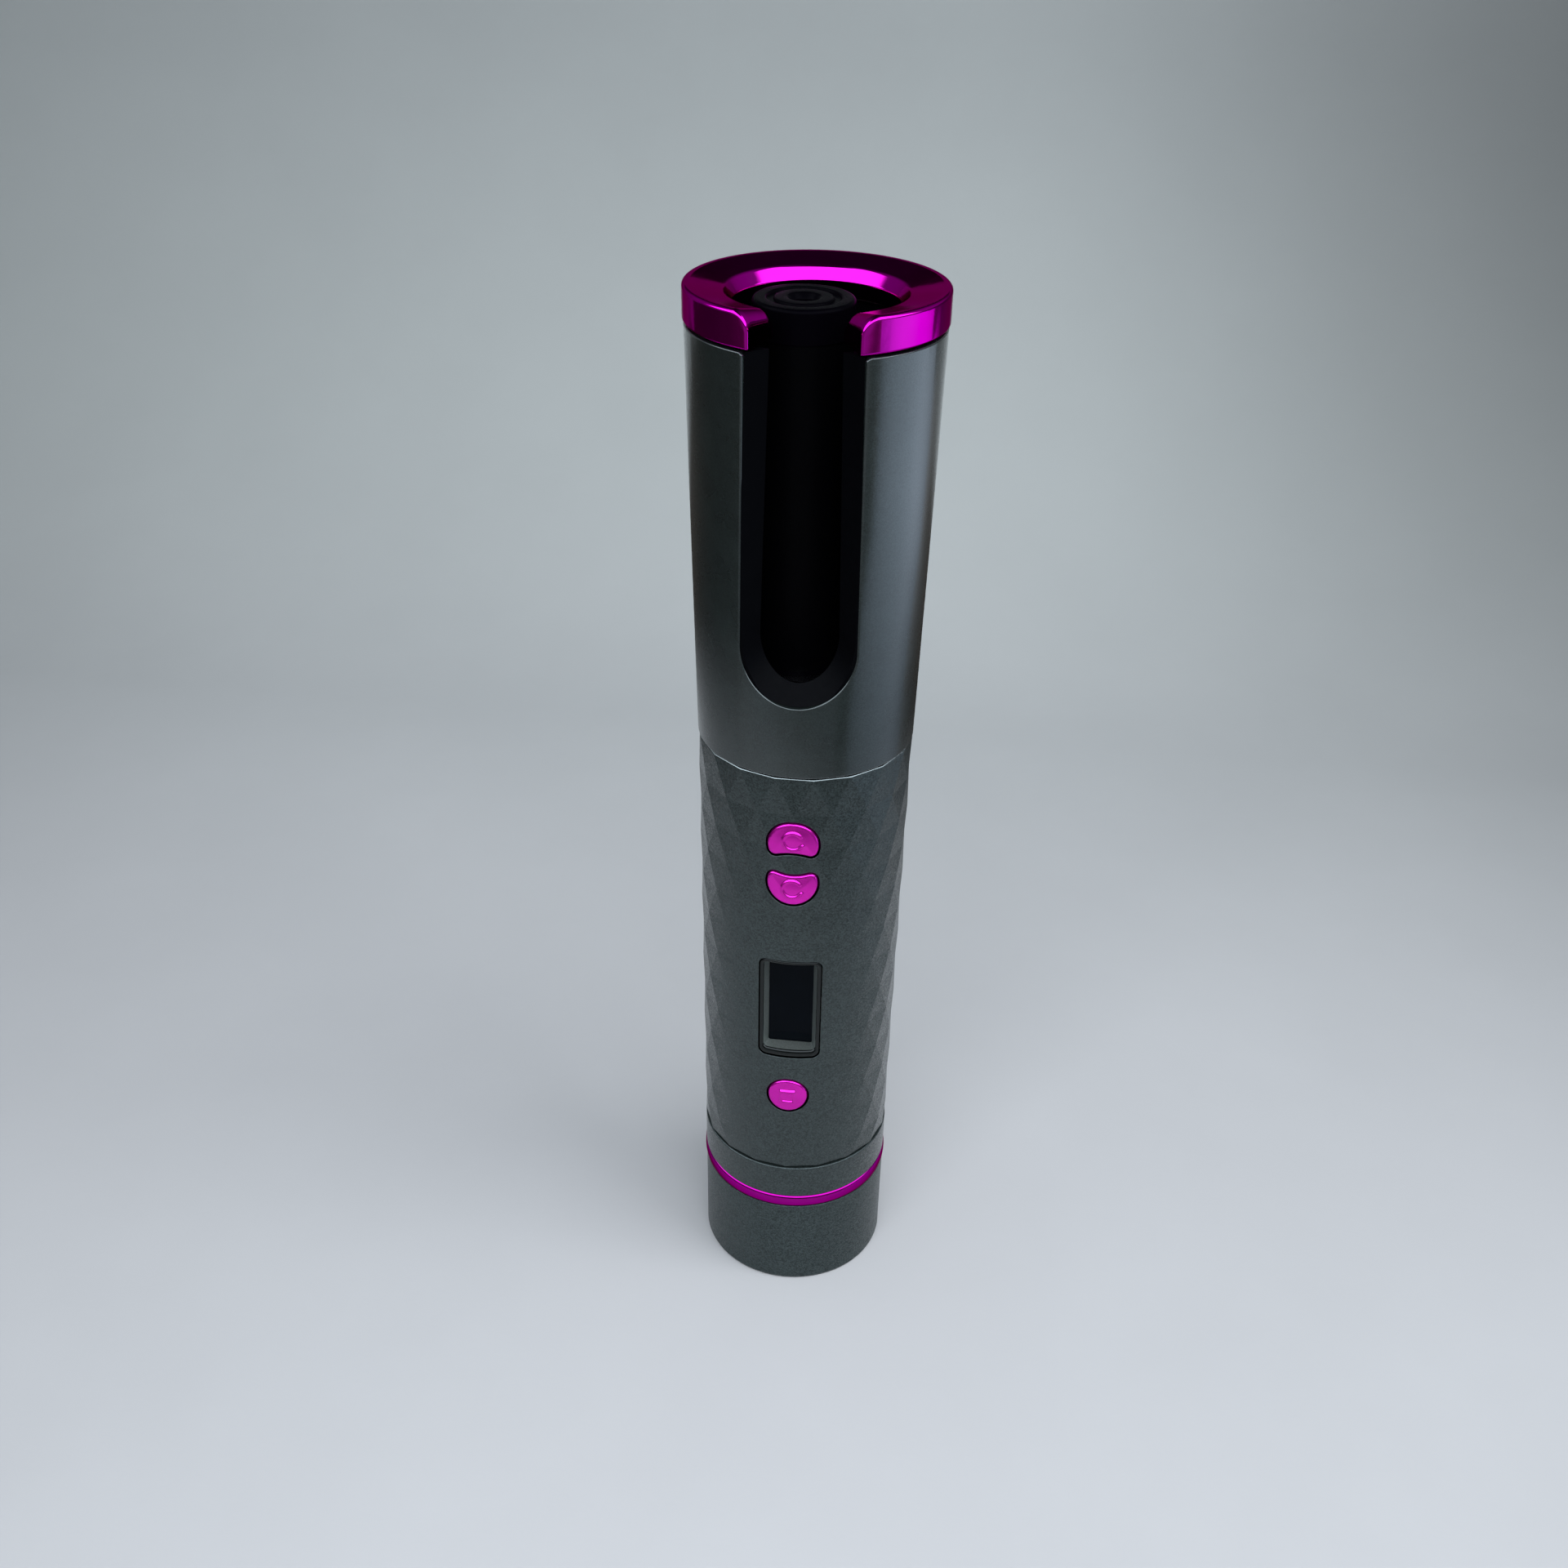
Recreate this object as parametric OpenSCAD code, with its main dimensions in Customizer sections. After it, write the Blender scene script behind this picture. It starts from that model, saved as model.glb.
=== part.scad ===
// Cordless automatic curling iron, standing on its flat base.
// The origin is the centre of the base's underside, +Z runs up the axis,
// and the slot, the buttons and the display face -Y. Sizes are in millimetres.

/* [Body] */
// height from the underside of the base to the rim of the cap
total_h = 212; // [212:0.5:214]
// outer radius of the cap
cap_r = 22.45; // [22.4:0.05:22.6]
// outer radius of the barrel shell just under the cap
shell_top_r = 22.2; // [22.1:0.05:22.3]
// outer radius where the barrel shell meets the handle
seam_r = 20.45; // [20.4:0.05:20.6]
// outer radius at the lower end of the handle
handle_low_r = 19.55; // [19.5:0.05:19.6]
// outer radius of the base at the floor
base_r = 19.4; // [19.35:0.05:19.45]
// wall thickness of the barrel shell
shell_wall = 1.5; // [1.4:0.05:1.5]

/* [Handle facets] */
// number of facets round the handle
facet_count = 18; // [16:2:20]
// height of one row of triangular facets
facet_row_h = 7.52; // [7.3:0.02:7.6]
// number of facet rows, counted down from the top edge
facet_rows = 12; // [10:1:12]

/* [Hair slot] */
// half width of the slot in the shell at its top
slot_top_half = 9.9; // [9.7:0.1:10]
// half width of the slot in the shell where its round bottom starts
slot_low_half = 10.35; // [10.2:0.05:10.4]
// height of the lowest point of the slot
slot_bottom_z = 142.95; // [142.5:0.05:143.5]
// half angle of the gap in the cap, in degrees
cap_gap_half = 23.5; // [23:0.5:25]
// radius that rounds the cap's top edges at the gap
cap_gap_round = 3.2; // [2:0.1:3.4]

/* [Heated rod] */
// radius of the heated rod
rod_r = 8.4; // [8.2:0.05:8.45]
// radius of the cool cap on the rod's end
end_cap_r = 8.75; // [8.6:0.05:8.8]
// how far the rod stands to the left of the drum's axis
rod_shift = 2.1; // [1.8:0.1:2.2]

/* [Drum drive] */
// module of the drive gears
gear_module = 0.7; // [0.7:0.1:0.7]
// teeth of the drive pinion
pinion_teeth = 10; // [10:1:10]
// teeth of the drum's internal ring gear
ring_teeth = 44; // [44:1:44]
// radial running clearance of the drum on its bush
bush_clearance = 0.05; // [0.03:0.01:0.08]

/* [Buttons and display] */
// height of the midpoint between the two direction buttons
bean_mid_z = 109.65; // [109.4:0.05:110.5]
// how far the buttons stand proud of the handle
button_proud = 0.15; // [0.1:0.05:0.5]
// radius of the round mode button
round_button_r = 4.15; // [4.1:0.05:4.4]
// height of the round mode button's centre
round_button_z = 52.8; // [52.5:0.1:53.2]
// gap left all round each button
button_gap = 0.25; // [0.15:0.05:0.3]
// width of the display recess at the handle's surface
window_w = 12.6; // [12:0.1:12.7]
// top of the display recess
window_top_z = 87; // [86.5:0.1:87.2]
// bottom of the display recess
window_low_z = 62.8; // [62.6:0.1:63.4]

/* [Output] */
// name of the piece to draw, or "all"

/* [Hidden] */

$fn = 96;
eps = 0.01;

// levels along the axis
ring_low_z = 21.8;
ring_top_z = 24.8;
handle_low_z = 33.1;
collar_top_z = 32.8;
handle_top_z = 128.3;
shell_low_z = 128.6;
shell_top_z = 205.5;
cap_low_z = 206;
drum_top_z = 205.3;
bulkhead_low_z = 129;
bulkhead_top_z = 131;

// radii inside the barrel
bore_r = 14;
funnel_r = 15.3;
drum_out_r = 17.2;
drum_in_r = 16;
liner_in_r = 17.6;
liner_out_r = 18.85;

// drive train
pinion_pitch_r = gear_module * pinion_teeth / 2;
ring_pitch_r = gear_module * ring_teeth / 2;
pinion_y = ring_pitch_r - pinion_pitch_r;
pressure_angle = 20;

// screw positions shared by the pieces that they hold together
anchor_low_z = 126.4;
anchor_screw_r = 9.3;
gearbox_screw_x = 4.5;
base_screw_x = 13;
tower_x = 11.5;
tower_y = -8.4;

// battery and boards
cell_r = 10.6;
cell_y = 5.6;
cell_low_z = 29.5;
cell_top_z = 99.7;
board_front_y = -11.8;
board_back_y = -10.6;

// colours
magenta = [0.72, 0.02, 0.62];
gunmetal = [0.27, 0.31, 0.31];
black = [0.02, 0.02, 0.025];
dark_grey = [0.1, 0.1, 0.11];
steel = [0.62, 0.63, 0.65];
brass_tone = [0.75, 0.6, 0.3];
copper_tone = [0.72, 0.42, 0.25];
white_plastic = [0.85, 0.85, 0.82];
board_green = [0.05, 0.25, 0.12];
cell_wrap = [0.1, 0.3, 0.6];

function shell_r(z) = seam_r + (shell_top_r - seam_r) * (z - shell_low_z) / (shell_top_z - shell_low_z);

function handle_r(z) =
    handle_low_r + (seam_r - 0.08 - handle_low_r) * (z - handle_low_z) / (handle_top_z - handle_low_z);

function arc_pts(cx, cy, r, a0, a1, steps) =
    [for (i = [0 : steps]) let (a = a0 + (a1 - a0) * i / steps) [cx + r * cos(a), cy + r * sin(a)]];

// ---------- shared helpers ----------

module screw(head_r, head_h, shank_r, shank_l) {
    difference() {
        union() {
            cylinder(h = head_h, r = head_r);
            translate([0, 0, -shank_l])
                cylinder(h = shank_l + eps, r = shank_r);
        }
        for (a = [0, 90])
            rotate([0, 0, a])
                translate([-head_r * 0.62, -0.18, head_h * 0.45])
                    cube([head_r * 1.24, 0.36, head_h]);
    }
}

module stick(p, q, r) {
    v = q - p;
    translate(p)
        rotate([0, acos(v[2] / norm(v)), atan2(v[1], v[0])])
            cylinder(h = norm(v), r = r, $fn = 24);
}

module wire(pts, r) {
    for (i = [0 : len(pts) - 2])
        stick(pts[i], pts[i + 1], r);
    for (i = [1 : len(pts) - 2])
        translate(pts[i])
            sphere(r = r * 1.12, $fn = 24);
}

module rounded_plate(w, h, r) {
    polygon(concat(
        arc_pts(w / 2 - r, h / 2 - r, r, 0, 90, 6),
        arc_pts(-w / 2 + r, h / 2 - r, r, 90, 180, 6),
        arc_pts(-w / 2 + r, -h / 2 + r, r, 180, 270, 6),
        arc_pts(w / 2 - r, -h / 2 + r, r, 270, 360, 6)));
}

// a flat shape drawn in X and Z, pushed from y_back out to y_front (the more negative one)
module facing_front(y_front, y_back) {
    translate([0, y_back, 0])
        rotate([90, 0, 0])
            linear_extrude(y_back - y_front)
                children();
}

// ---------- cap ----------

module cap_section() {
    polygon([
        [bore_r, cap_low_z], [bore_r, total_h - 3.2], [funnel_r, total_h - 1.15],
        [funnel_r + 0.4, total_h - 1.02],
        [cap_r - 0.45, total_h], [cap_r - 0.1, total_h - 0.12], [cap_r, total_h - 0.4],
        [cap_r - 0.03, cap_low_z]
    ]);
}

module top_cap() {
    pocket_margin = 5;
    spigot_margin = 8;
    color(magenta)
        difference() {
            union() {
                rotate([0, 0, cap_gap_half - 90])
                    rotate_extrude(angle = 360 - 2 * cap_gap_half)
                        cap_section();
                rotate([0, 0, cap_gap_half + spigot_margin - 90])
                    rotate_extrude(angle = 360 - 2 * (cap_gap_half + spigot_margin))
                        translate([shell_top_r - shell_wall - 1.4, cap_low_z - 2.4])
                            square([1.2, 2.6]);
            }
            rotate([0, 0, cap_gap_half + pocket_margin - 90])
                rotate_extrude(angle = 360 - 2 * (cap_gap_half + pocket_margin))
                    polygon([
                        [funnel_r + 0.1, cap_low_z - 1], [funnel_r + 1.5, total_h - 2.9],
                        [shell_top_r - shell_wall - 1.8, total_h - 2.2],
                        [shell_top_r - shell_wall - 1.5, cap_low_z - 1]
                    ]);
            for (side = [0, 1])
                mirror([side, 0, 0])
                    rotate([0, 0, cap_gap_half])
                        translate([0, -12, 0])
                            rotate([90, 0, 0])
                                linear_extrude(14)
                                    difference() {
                                        translate([-1, total_h - cap_gap_round])
                                            square([cap_gap_round + 0.6, cap_gap_round + 1]);
                                        translate([cap_gap_round - 0.05, total_h - cap_gap_round + 0.05])
                                            circle(r = cap_gap_round);
                                    }
        }
}

// ---------- barrel ----------

module slot_prism(grow) {
    facing_front(-26, -8) {
        polygon([
            [-slot_low_half - grow, slot_bottom_z + slot_low_half],
            [slot_low_half + grow, slot_bottom_z + slot_low_half],
            [slot_top_half + grow, shell_top_z + 2], [-slot_top_half - grow, shell_top_z + 2]
        ]);
        translate([0, slot_bottom_z + slot_low_half])
            circle(r = slot_low_half + grow);
    }
}

module barrel_shell() {
    color(gunmetal)
        difference() {
            rotate_extrude()
                polygon([
                    [seam_r - shell_wall, shell_low_z], [seam_r - 0.12, shell_low_z],
                    [seam_r, shell_low_z + 0.15],
                    [shell_top_r, shell_top_z - 0.1], [shell_top_r - 0.1, shell_top_z],
                    [shell_top_r - shell_wall, shell_top_z]
                ]);
            slot_prism(0);
        }
}

// the funnel-shaped cut that guides the hair from the shell's slot into the drum
module slot_bevel_cut() {
    cone_z = 156.2;
    side_half = 10.1;
    side_y = 18.45;
    slope = 1.4;
    depth_in = 4;
    depth_out = 6;
    lean = atan((shell_top_r - seam_r) / (shell_top_z - shell_low_z));
    translate([0, 0, cone_z])
        rotate([lean, 0, 0]) {
            linear_extrude(60)
                polygon([
                    [-(side_half - slope * depth_in), depth_in - side_y],
                    [side_half - slope * depth_in, depth_in - side_y],
                    [side_half + slope * depth_out, -side_y - depth_out],
                    [-side_half - slope * depth_out, -side_y - depth_out]
                ]);
            translate([0, depth_in - side_y, 0])
                rotate([90, 0, 0])
                    cylinder(
                        h = depth_in + depth_out, r1 = side_half - slope * depth_in,
                        r2 = side_half + slope * depth_out
                    );
        }
}

module slot_liner() {
    flange_low_z = 200.6;
    flange_top_z = 203.2;
    color(black)
        difference() {
            union() {
                rotate_extrude()
                    polygon([
                        [liner_in_r, bulkhead_top_z], [liner_out_r, bulkhead_top_z],
                        [liner_out_r, flange_low_z],
                        [shell_r(flange_low_z) - shell_wall - 0.15, flange_low_z + 1],
                        [shell_r(flange_low_z) - shell_wall - 0.15, flange_top_z], [liner_in_r, flange_top_z]
                    ]);
                intersection() {
                    slot_prism(-0.1);
                    rotate_extrude()
                        polygon([
                            [liner_in_r, shell_low_z + 8], [shell_r(shell_low_z + 8) - 0.2, shell_low_z + 8],
                            [shell_r(shell_top_z) - 0.2, shell_top_z - 0.1], [liner_in_r, shell_top_z - 0.1]
                        ]);
                }
            }
            slot_bevel_cut();
        }
}

// ---------- drum that turns round the rod ----------

module rotor_drum() {
    floor_low_z = 139.5;
    floor_top_z = 140.9;
    hub_top_z = 142.4;
    mouth_half = 7.6;
    mouth_low_z = 144;
    hook_z = 172;
    color(black)
        difference() {
            union() {
                rotate_extrude()
                    polygon([
                        [9 + bush_clearance, floor_low_z], [drum_out_r, floor_low_z],
                        [drum_out_r, drum_top_z],
                        [drum_in_r, drum_top_z], [drum_in_r, floor_top_z], [10.6, floor_top_z],
                        [10.6, hub_top_z], [9 + bush_clearance, hub_top_z]
                    ]);
                translate([mouth_half, -14.6, hook_z])
                    cube([1.4, 3.2, 9]);
            }
            facing_front(-20, -13.4) {
                polygon([
                    [-mouth_half, mouth_low_z + mouth_half], [mouth_half, mouth_low_z + mouth_half],
                    [mouth_half, drum_top_z + 1], [-mouth_half, drum_top_z + 1]
                ]);
                translate([0, mouth_low_z + mouth_half])
                    circle(r = mouth_half);
            }
        }
}

function involute_deg(a) = tan(a) * 180 / PI - a;

function tooth_half(r, pitch_r, half_at_pitch) =
    let (base = pitch_r * cos(pressure_angle), a = acos(min(1, base / r)))
    half_at_pitch + involute_deg(pressure_angle) - involute_deg(a);

module toothed_disc(pitch_r, teeth, root_r, tip_r, half_at_pitch) {
    flank_steps = 4;
    polygon([
        for (i = [0 : teeth - 1], s = [-flank_steps : flank_steps])
            if (s != 0)
                let (
                    r = root_r + (tip_r - root_r) * (flank_steps - abs(s)) / (flank_steps - 1),
                    h = tooth_half(r, pitch_r, half_at_pitch),
                    a = i * 360 / teeth + sign(s) * h)
                [r * cos(a), r * sin(a)]
    ]);
}

module rotor_ring_gear() {
    gear_low_z = 131.5;
    gear_top_z = 139.4;
    color(white_plastic)
        difference() {
            translate([0, 0, gear_low_z])
                cylinder(h = gear_top_z - gear_low_z, r = drum_out_r);
            translate([0, 0, gear_low_z - 1])
                linear_extrude(gear_top_z - gear_low_z + 2)
                    toothed_disc(
                        ring_pitch_r, ring_teeth, ring_pitch_r - 0.35, ring_pitch_r + 0.85,
                        90 / ring_teeth + 0.22
                    );
            home_magnet_space(0.02);
        }
}

// pocket for the magnet that marks the drum's home position
module home_magnet_space(grow) {
    translate([-drum_out_r - 0.5, -1 - grow, 132.4 - grow])
        cube([1.3 + grow, 2 + 2 * grow, 2 + 2 * grow]);
}

module home_magnet() {
    color(steel)
        translate([-drum_out_r + 0.02, -1, 132.4])
            cube([0.76, 2, 2]);
}

module rotor_bush() {
    color(brass_tone)
        rotate_extrude()
            polygon([[7.22, 138.6], [10.2, 138.6], [10.2, 139.2], [9, 139.2], [9, 142.5], [7.22, 142.5]]);
}

module rotor_washer() {
    color(steel)
        rotate_extrude()
            translate([7.25, 142.55])
                square([3.1, 0.5]);
}

// ---------- heated rod ----------

tube_low_z = 144;
tube_top_z = 203.5;
tube_in_r = 7.3;
spreader_low_z = 151.5;
spreader_top_z = 198.5;

module heater_tube() {
    color(black)
        translate([-rod_shift, 0, 0])
            rotate_extrude()
                translate([tube_in_r, tube_low_z])
                    square([rod_r - tube_in_r, tube_top_z - tube_low_z]);
}

module heat_spreaders() {
    color(steel)
        translate([-rod_shift, 0, 0])
            difference() {
                translate([0, 0, spreader_low_z])
                    cylinder(h = spreader_top_z - spreader_low_z, r = tube_in_r - 0.03);
                translate([-8, -0.05, spreader_low_z - 1])
                    cube([16, 0.1, spreader_top_z - spreader_low_z + 2]);
                translate([-5.6, -1.35, spreader_low_z - 1])
                    cube([11.2, 2.7, 40]);
                for (side = [-1, 1])
                    translate([0, side * 4.4, spreader_low_z - 1])
                        cylinder(h = 13, r = 1.3);
                translate([0, 0, spreader_top_z - 7])
                    cylinder(h = 8, r = 1.2);
            }
}

module heater_element() {
    color(white_plastic)
        translate([-rod_shift - 5.4, -1.3, spreader_low_z + 0.5])
            cube([10.8, 2.6, 37]);
}

module thermal_fuse() {
    color(brass_tone)
        translate([-rod_shift, 4.4, spreader_low_z + 1.5])
            cylinder(h = 9.5, r = 1.15);
}

module thermistor() {
    color(copper_tone)
        translate([-rod_shift, -4.4, spreader_low_z + 4])
            cylinder(h = 6, r = 0.9);
}

module rod_holder() {
    color(dark_grey)
        difference() {
            union() {
                translate([0, 0, anchor_low_z])
                    cylinder(h = tube_low_z - 0.9 - anchor_low_z, r = 7.2);
                translate([-rod_shift, 0, tube_low_z - 0.9])
                    cylinder(h = 0.9, r = rod_r);
                translate([-rod_shift, 0, tube_low_z - 0.5])
                    cylinder(h = 6.5, r = tube_in_r - 0.05);
            }
            translate([-1, 0, 120])
                cylinder(h = 40, r = 4.6);
            translate([-8, 6.8, 126])
                cube([16, 3, bulkhead_low_z - 126]);
        }
}

module rod_anchor() {
    color(steel)
        difference() {
            translate([0, 0, anchor_low_z])
                cylinder(h = 2.5, r = 11.5);
            translate([-13, 6.75, 126])
                cube([26, 8, 4]);
            translate([0, 0, 126])
                cylinder(h = 4, r = 7.25);
            for (a = [180, 270, 360])
                rotate([0, 0, a])
                    translate([anchor_screw_r, 0, 126])
                        cylinder(h = 4, r = 1.1);
        }
}

module rod_end_cap() {
    face_z = total_h - 2.5;
    color(dark_grey)
        translate([-rod_shift, 0, 0])
            rotate_extrude()
                polygon([
                    [1.3, tube_top_z - 4], [tube_in_r - 0.05, tube_top_z - 4], [tube_in_r - 0.05, tube_top_z],
                    [end_cap_r - 0.15, tube_top_z], [end_cap_r, tube_top_z + 0.2],
                    [end_cap_r, face_z - 0.35], [end_cap_r - 0.35, face_z],
                    [6.35, face_z], [6.25, face_z - 0.5], [5.15, face_z - 0.5], [5.05, face_z],
                    [2.8, face_z], [2, face_z - 0.8], [2, face_z - 4], [1.3, face_z - 4]
                ]);
}

module rod_end_screw() {
    color(steel)
        translate([-rod_shift, 0, total_h - 2.5 - 4])
            screw(1.8, 1.2, 1.15, 12.5);
}

// ---------- bulkhead and drive ----------

module bulkhead() {
    skirt_low_z = 124;
    color(dark_grey)
        difference() {
            rotate_extrude()
                polygon([
                    [7.25, bulkhead_low_z], [16.95, bulkhead_low_z], [16.95, skirt_low_z],
                    [18.15, skirt_low_z],
                    [18.15, bulkhead_low_z - 0.2], [18.85, bulkhead_low_z - 0.2],
                    [18.85, bulkhead_top_z - 0.05],
                    [7.25, bulkhead_top_z - 0.05]
                ]);
            translate([0, pinion_y, bulkhead_low_z - 1])
                cylinder(h = 4, r = 2.2);
            for (side = [-1, 1]) {
                translate([side * gearbox_screw_x, pinion_y, bulkhead_low_z - 1])
                    cylinder(h = 4, r = 0.9);
                translate([side * gearbox_screw_x, pinion_y, bulkhead_top_z - 1.1])
                    cylinder(h = 2, r = 1.6);
                translate([side * tower_x, tower_y, bulkhead_low_z - 1])
                    cylinder(h = 4, r = 1.1);
                translate([side * tower_x, tower_y, bulkhead_top_z - 1.4])
                    cylinder(h = 2, r = 2);
            }
            translate([-6.3, 10, 120])
                cube([12.6, 7.2, bulkhead_low_z - 120]);
            for (a = [180, 270, 360])
                rotate([0, 0, a])
                    translate([anchor_screw_r, 0, bulkhead_low_z - 1])
                        cylinder(h = 2.4, r = 0.85);
            translate([-17.1, -2.2, bulkhead_low_z - 5.2])
                cube([2.4, 4.4, 8]);
        }
}

module motor_gearbox() {
    box_low_z = bulkhead_low_z - 9.1;
    color(brass_tone)
        difference() {
            translate([-6, pinion_y - 5, box_low_z])
                cube([12, 10, 9]);
            translate([0, pinion_y, box_low_z + 2])
                cylinder(h = 8, r = 1.55);
            for (side = [-1, 1])
                translate([side * gearbox_screw_x, pinion_y, box_low_z + 5])
                    cylinder(h = 5, r = 0.8);
        }
}

module drive_motor() {
    can_top_z = bulkhead_low_z - 9.15;
    can_l = 15;
    color(steel) {
        intersection() {
            translate([0, pinion_y, can_top_z - can_l])
                cylinder(h = can_l, r = 6);
            translate([-6.5, pinion_y - 5, can_top_z - can_l - 1])
                cube([13, 10, can_l + 2]);
        }
        translate([0, pinion_y, can_top_z - can_l - 1])
            cylinder(h = 1.2, r = 2.4);
    }
}

module drive_pinion() {
    shaft_low_z = bulkhead_low_z - 6.8;
    pinion_low_z = bulkhead_top_z + 0.7;
    pinion_top_z = 138.1;
    color(brass_tone)
        translate([0, pinion_y, 0]) {
            translate([0, 0, shaft_low_z])
                cylinder(h = pinion_top_z - shaft_low_z, r = 1.5);
            translate([0, 0, pinion_low_z])
                rotate([0, 0, 90])
                    linear_extrude(pinion_top_z - pinion_low_z)
                        toothed_disc(
                            pinion_pitch_r, pinion_teeth, pinion_pitch_r - 0.88,
                            pinion_pitch_r + 0.7, 90 / pinion_teeth - 1
                        );
        }
}

module gearbox_screws() {
    color(steel)
        for (side = [-1, 1])
            translate([side * gearbox_screw_x, pinion_y, bulkhead_top_z - 1.1])
                screw(1.4, 0.9, 0.78, 4);
}

module hall_sensor() {
    color(dark_grey)
        translate([-16.9, -2, 126])
            cube([1.5, 4, 4.9]);
}

// ---------- handle ----------

// outer skin of the handle: rings of points, turned by half a facet from row to row
function ring_z(i) = i <= facet_rows ? handle_top_z - 0.35 - i * facet_row_h : handle_low_z;

function skin_ring(i) =
    [for (k = [0 : facet_count - 1])
        let (a = -90 + (k + (i + 1) % 2 / 2) * 360 / facet_count, r = handle_r(ring_z(i)))
        [r * cos(a), r * sin(a), ring_z(i)]];

function skin_band(i, flip) =
    [for (k = [0 : facet_count - 1])
        let (a = i * facet_count + k, b = i * facet_count + (k + 1) % facet_count,
             c = (i + 1) * facet_count + k, d = (i + 1) * facet_count + (k + 1) % facet_count)
        each flip ? [[a, b, d], [a, d, c]] : [[a, b, c], [b, d, c]]];

module handle_skin() {
    rows = facet_rows + 1;
    chamfer = [for (k = [0 : facet_count - 1])
        let (a = -90 + (k + 0.5) * 360 / facet_count, r = handle_r(handle_top_z) - 0.35)
        [r * cos(a), r * sin(a), handle_top_z]];
    top_start = (rows + 1) * facet_count;
    polyhedron(
        points = concat([for (i = [0 : rows]) each skin_ring(i)], chamfer),
        faces = concat(
            [for (i = [0 : rows - 1]) each skin_band(i, i % 2 == 0)],
            [for (k = [0 : facet_count - 1])
                let (n = (k + 1) % facet_count)
                each [[top_start + k, top_start + n, n], [top_start + k, n, k]]],
            [[for (k = [facet_count - 1 : -1 : 0]) top_start + k]],
            [[for (k = [0 : facet_count - 1]) rows * facet_count + k]]));
}

// outline of a direction button: a round outer side, a hollow inner side, rounded corners
bean_r = 4.94;
bean_centre = 4.27;
bean_cup_r = 9.8;
bean_cup_centre = -7.45;
bean_corner_r = 1.4;
bean_stem_z = 5.6;

function bean_outline(grow) =
    let (
        reach = bean_cup_r + bean_corner_r,
        inner = bean_r - bean_corner_r,
        span = bean_centre - bean_cup_centre,
        up = (reach * reach - inner * inner + span * span) / (2 * span),
        cx = sqrt(reach * reach - up * up),
        cz = bean_cup_centre + up,
        a_main = atan2(cz - bean_centre, cx),
        a_cup = atan2(up, cx))
    concat(
        arc_pts(0, bean_centre, bean_r + grow, a_main, 180 - a_main, 30),
        arc_pts(-cx, cz, bean_corner_r + grow, 180 - a_main, 360 - a_cup, 8),
        arc_pts(0, bean_cup_centre, bean_cup_r - grow, 180 - a_cup, a_cup, 10),
        arc_pts(cx, cz, bean_corner_r + grow, 180 + a_cup, 360 + a_main, 8));

module bean_at_place(lower, grow) {
    translate([0, bean_mid_z])
        mirror([0, lower ? 1 : 0])
            polygon(bean_outline(grow));
}

window_mid_z = (window_top_z + window_low_z) / 2;
window_h = window_top_z - window_low_z;

module handle_shell() {
    color(gunmetal)
        difference() {
            handle_skin();
            rotate_extrude()
                polygon([
                    [0, handle_low_z - 1], [17.6, handle_low_z - 1], [18.4, handle_top_z + 1],
                    [0, handle_top_z + 1]
                ]);
            facing_front(-24, -10)
                bean_at_place(false, button_gap);
            facing_front(-24, -10)
                bean_at_place(true, button_gap);
            translate([0, -10, round_button_z])
                rotate([90, 0, 0])
                    cylinder(h = 14, r = round_button_r + button_gap);
            translate([0, 0, window_mid_z])
                facing_front(-24, -10)
                    rounded_plate(window_w, window_h, window_corner_r);
        }
}

// solid cone a little larger than the handle, used to shape what shows on its surface
module surface_cone(grow) {
    rotate_extrude()
        polygon([
            [0, handle_low_z], [handle_r(handle_low_z) + grow, handle_low_z],
            [handle_r(handle_top_z) + grow, handle_top_z], [0, handle_top_z]
        ]);
}

flange_front_y = -16.9;
flange_back_y = -16.2;
stem_back_y = -14.6;

module bean_button(lower) {
    color(magenta)
        union() {
            intersection() {
                facing_front(-24, flange_back_y)
                    bean_at_place(lower, 0);
                surface_cone(button_proud);
            }
            facing_front(flange_front_y, flange_back_y)
                bean_at_place(lower, 0.55);
            translate([0, stem_back_y, bean_mid_z + (lower ? -1 : 1) * bean_stem_z])
                rotate([90, 0, 0])
                    cylinder(h = stem_back_y - flange_back_y, r = 1.5);
        }
}

module button_curl_left() {
    bean_button(false);
}

module button_curl_right() {
    bean_button(true);
}

module button_mode() {
    color(magenta)
        translate([0, 0, round_button_z])
            union() {
                intersection() {
                    translate([0, flange_back_y, 0])
                        rotate([90, 0, 0])
                            cylinder(h = 6, r = round_button_r);
                    translate([0, 0, -round_button_z])
                        surface_cone(button_proud);
                }
                translate([0, flange_back_y, 0])
                    rotate([90, 0, 0])
                        cylinder(h = flange_back_y - flange_front_y, r = round_button_r + 0.5);
                translate([0, stem_back_y, 0])
                    rotate([90, 0, 0])
                        cylinder(h = stem_back_y - flange_back_y, r = 1.5);
            }
}

// display: recessed frame, dark window, glass cell
glass_front_y = -16.4;
glass_half_w = 4.35;
glass_top_z = 86;
glass_low_z = 64.8;
window_corner_r = 1.6;
bezel_gap = 0.1;

module bezel_blank() {
    bezel_inset = 0.25;
    intersection() {
        translate([0, 0, window_mid_z])
            facing_front(-24, glass_front_y)
                rounded_plate(
                    window_w - 2 * bezel_gap, window_h - 2 * bezel_gap,
                    window_corner_r - bezel_gap
                );
        surface_cone(-bezel_inset);
    }
}

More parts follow.
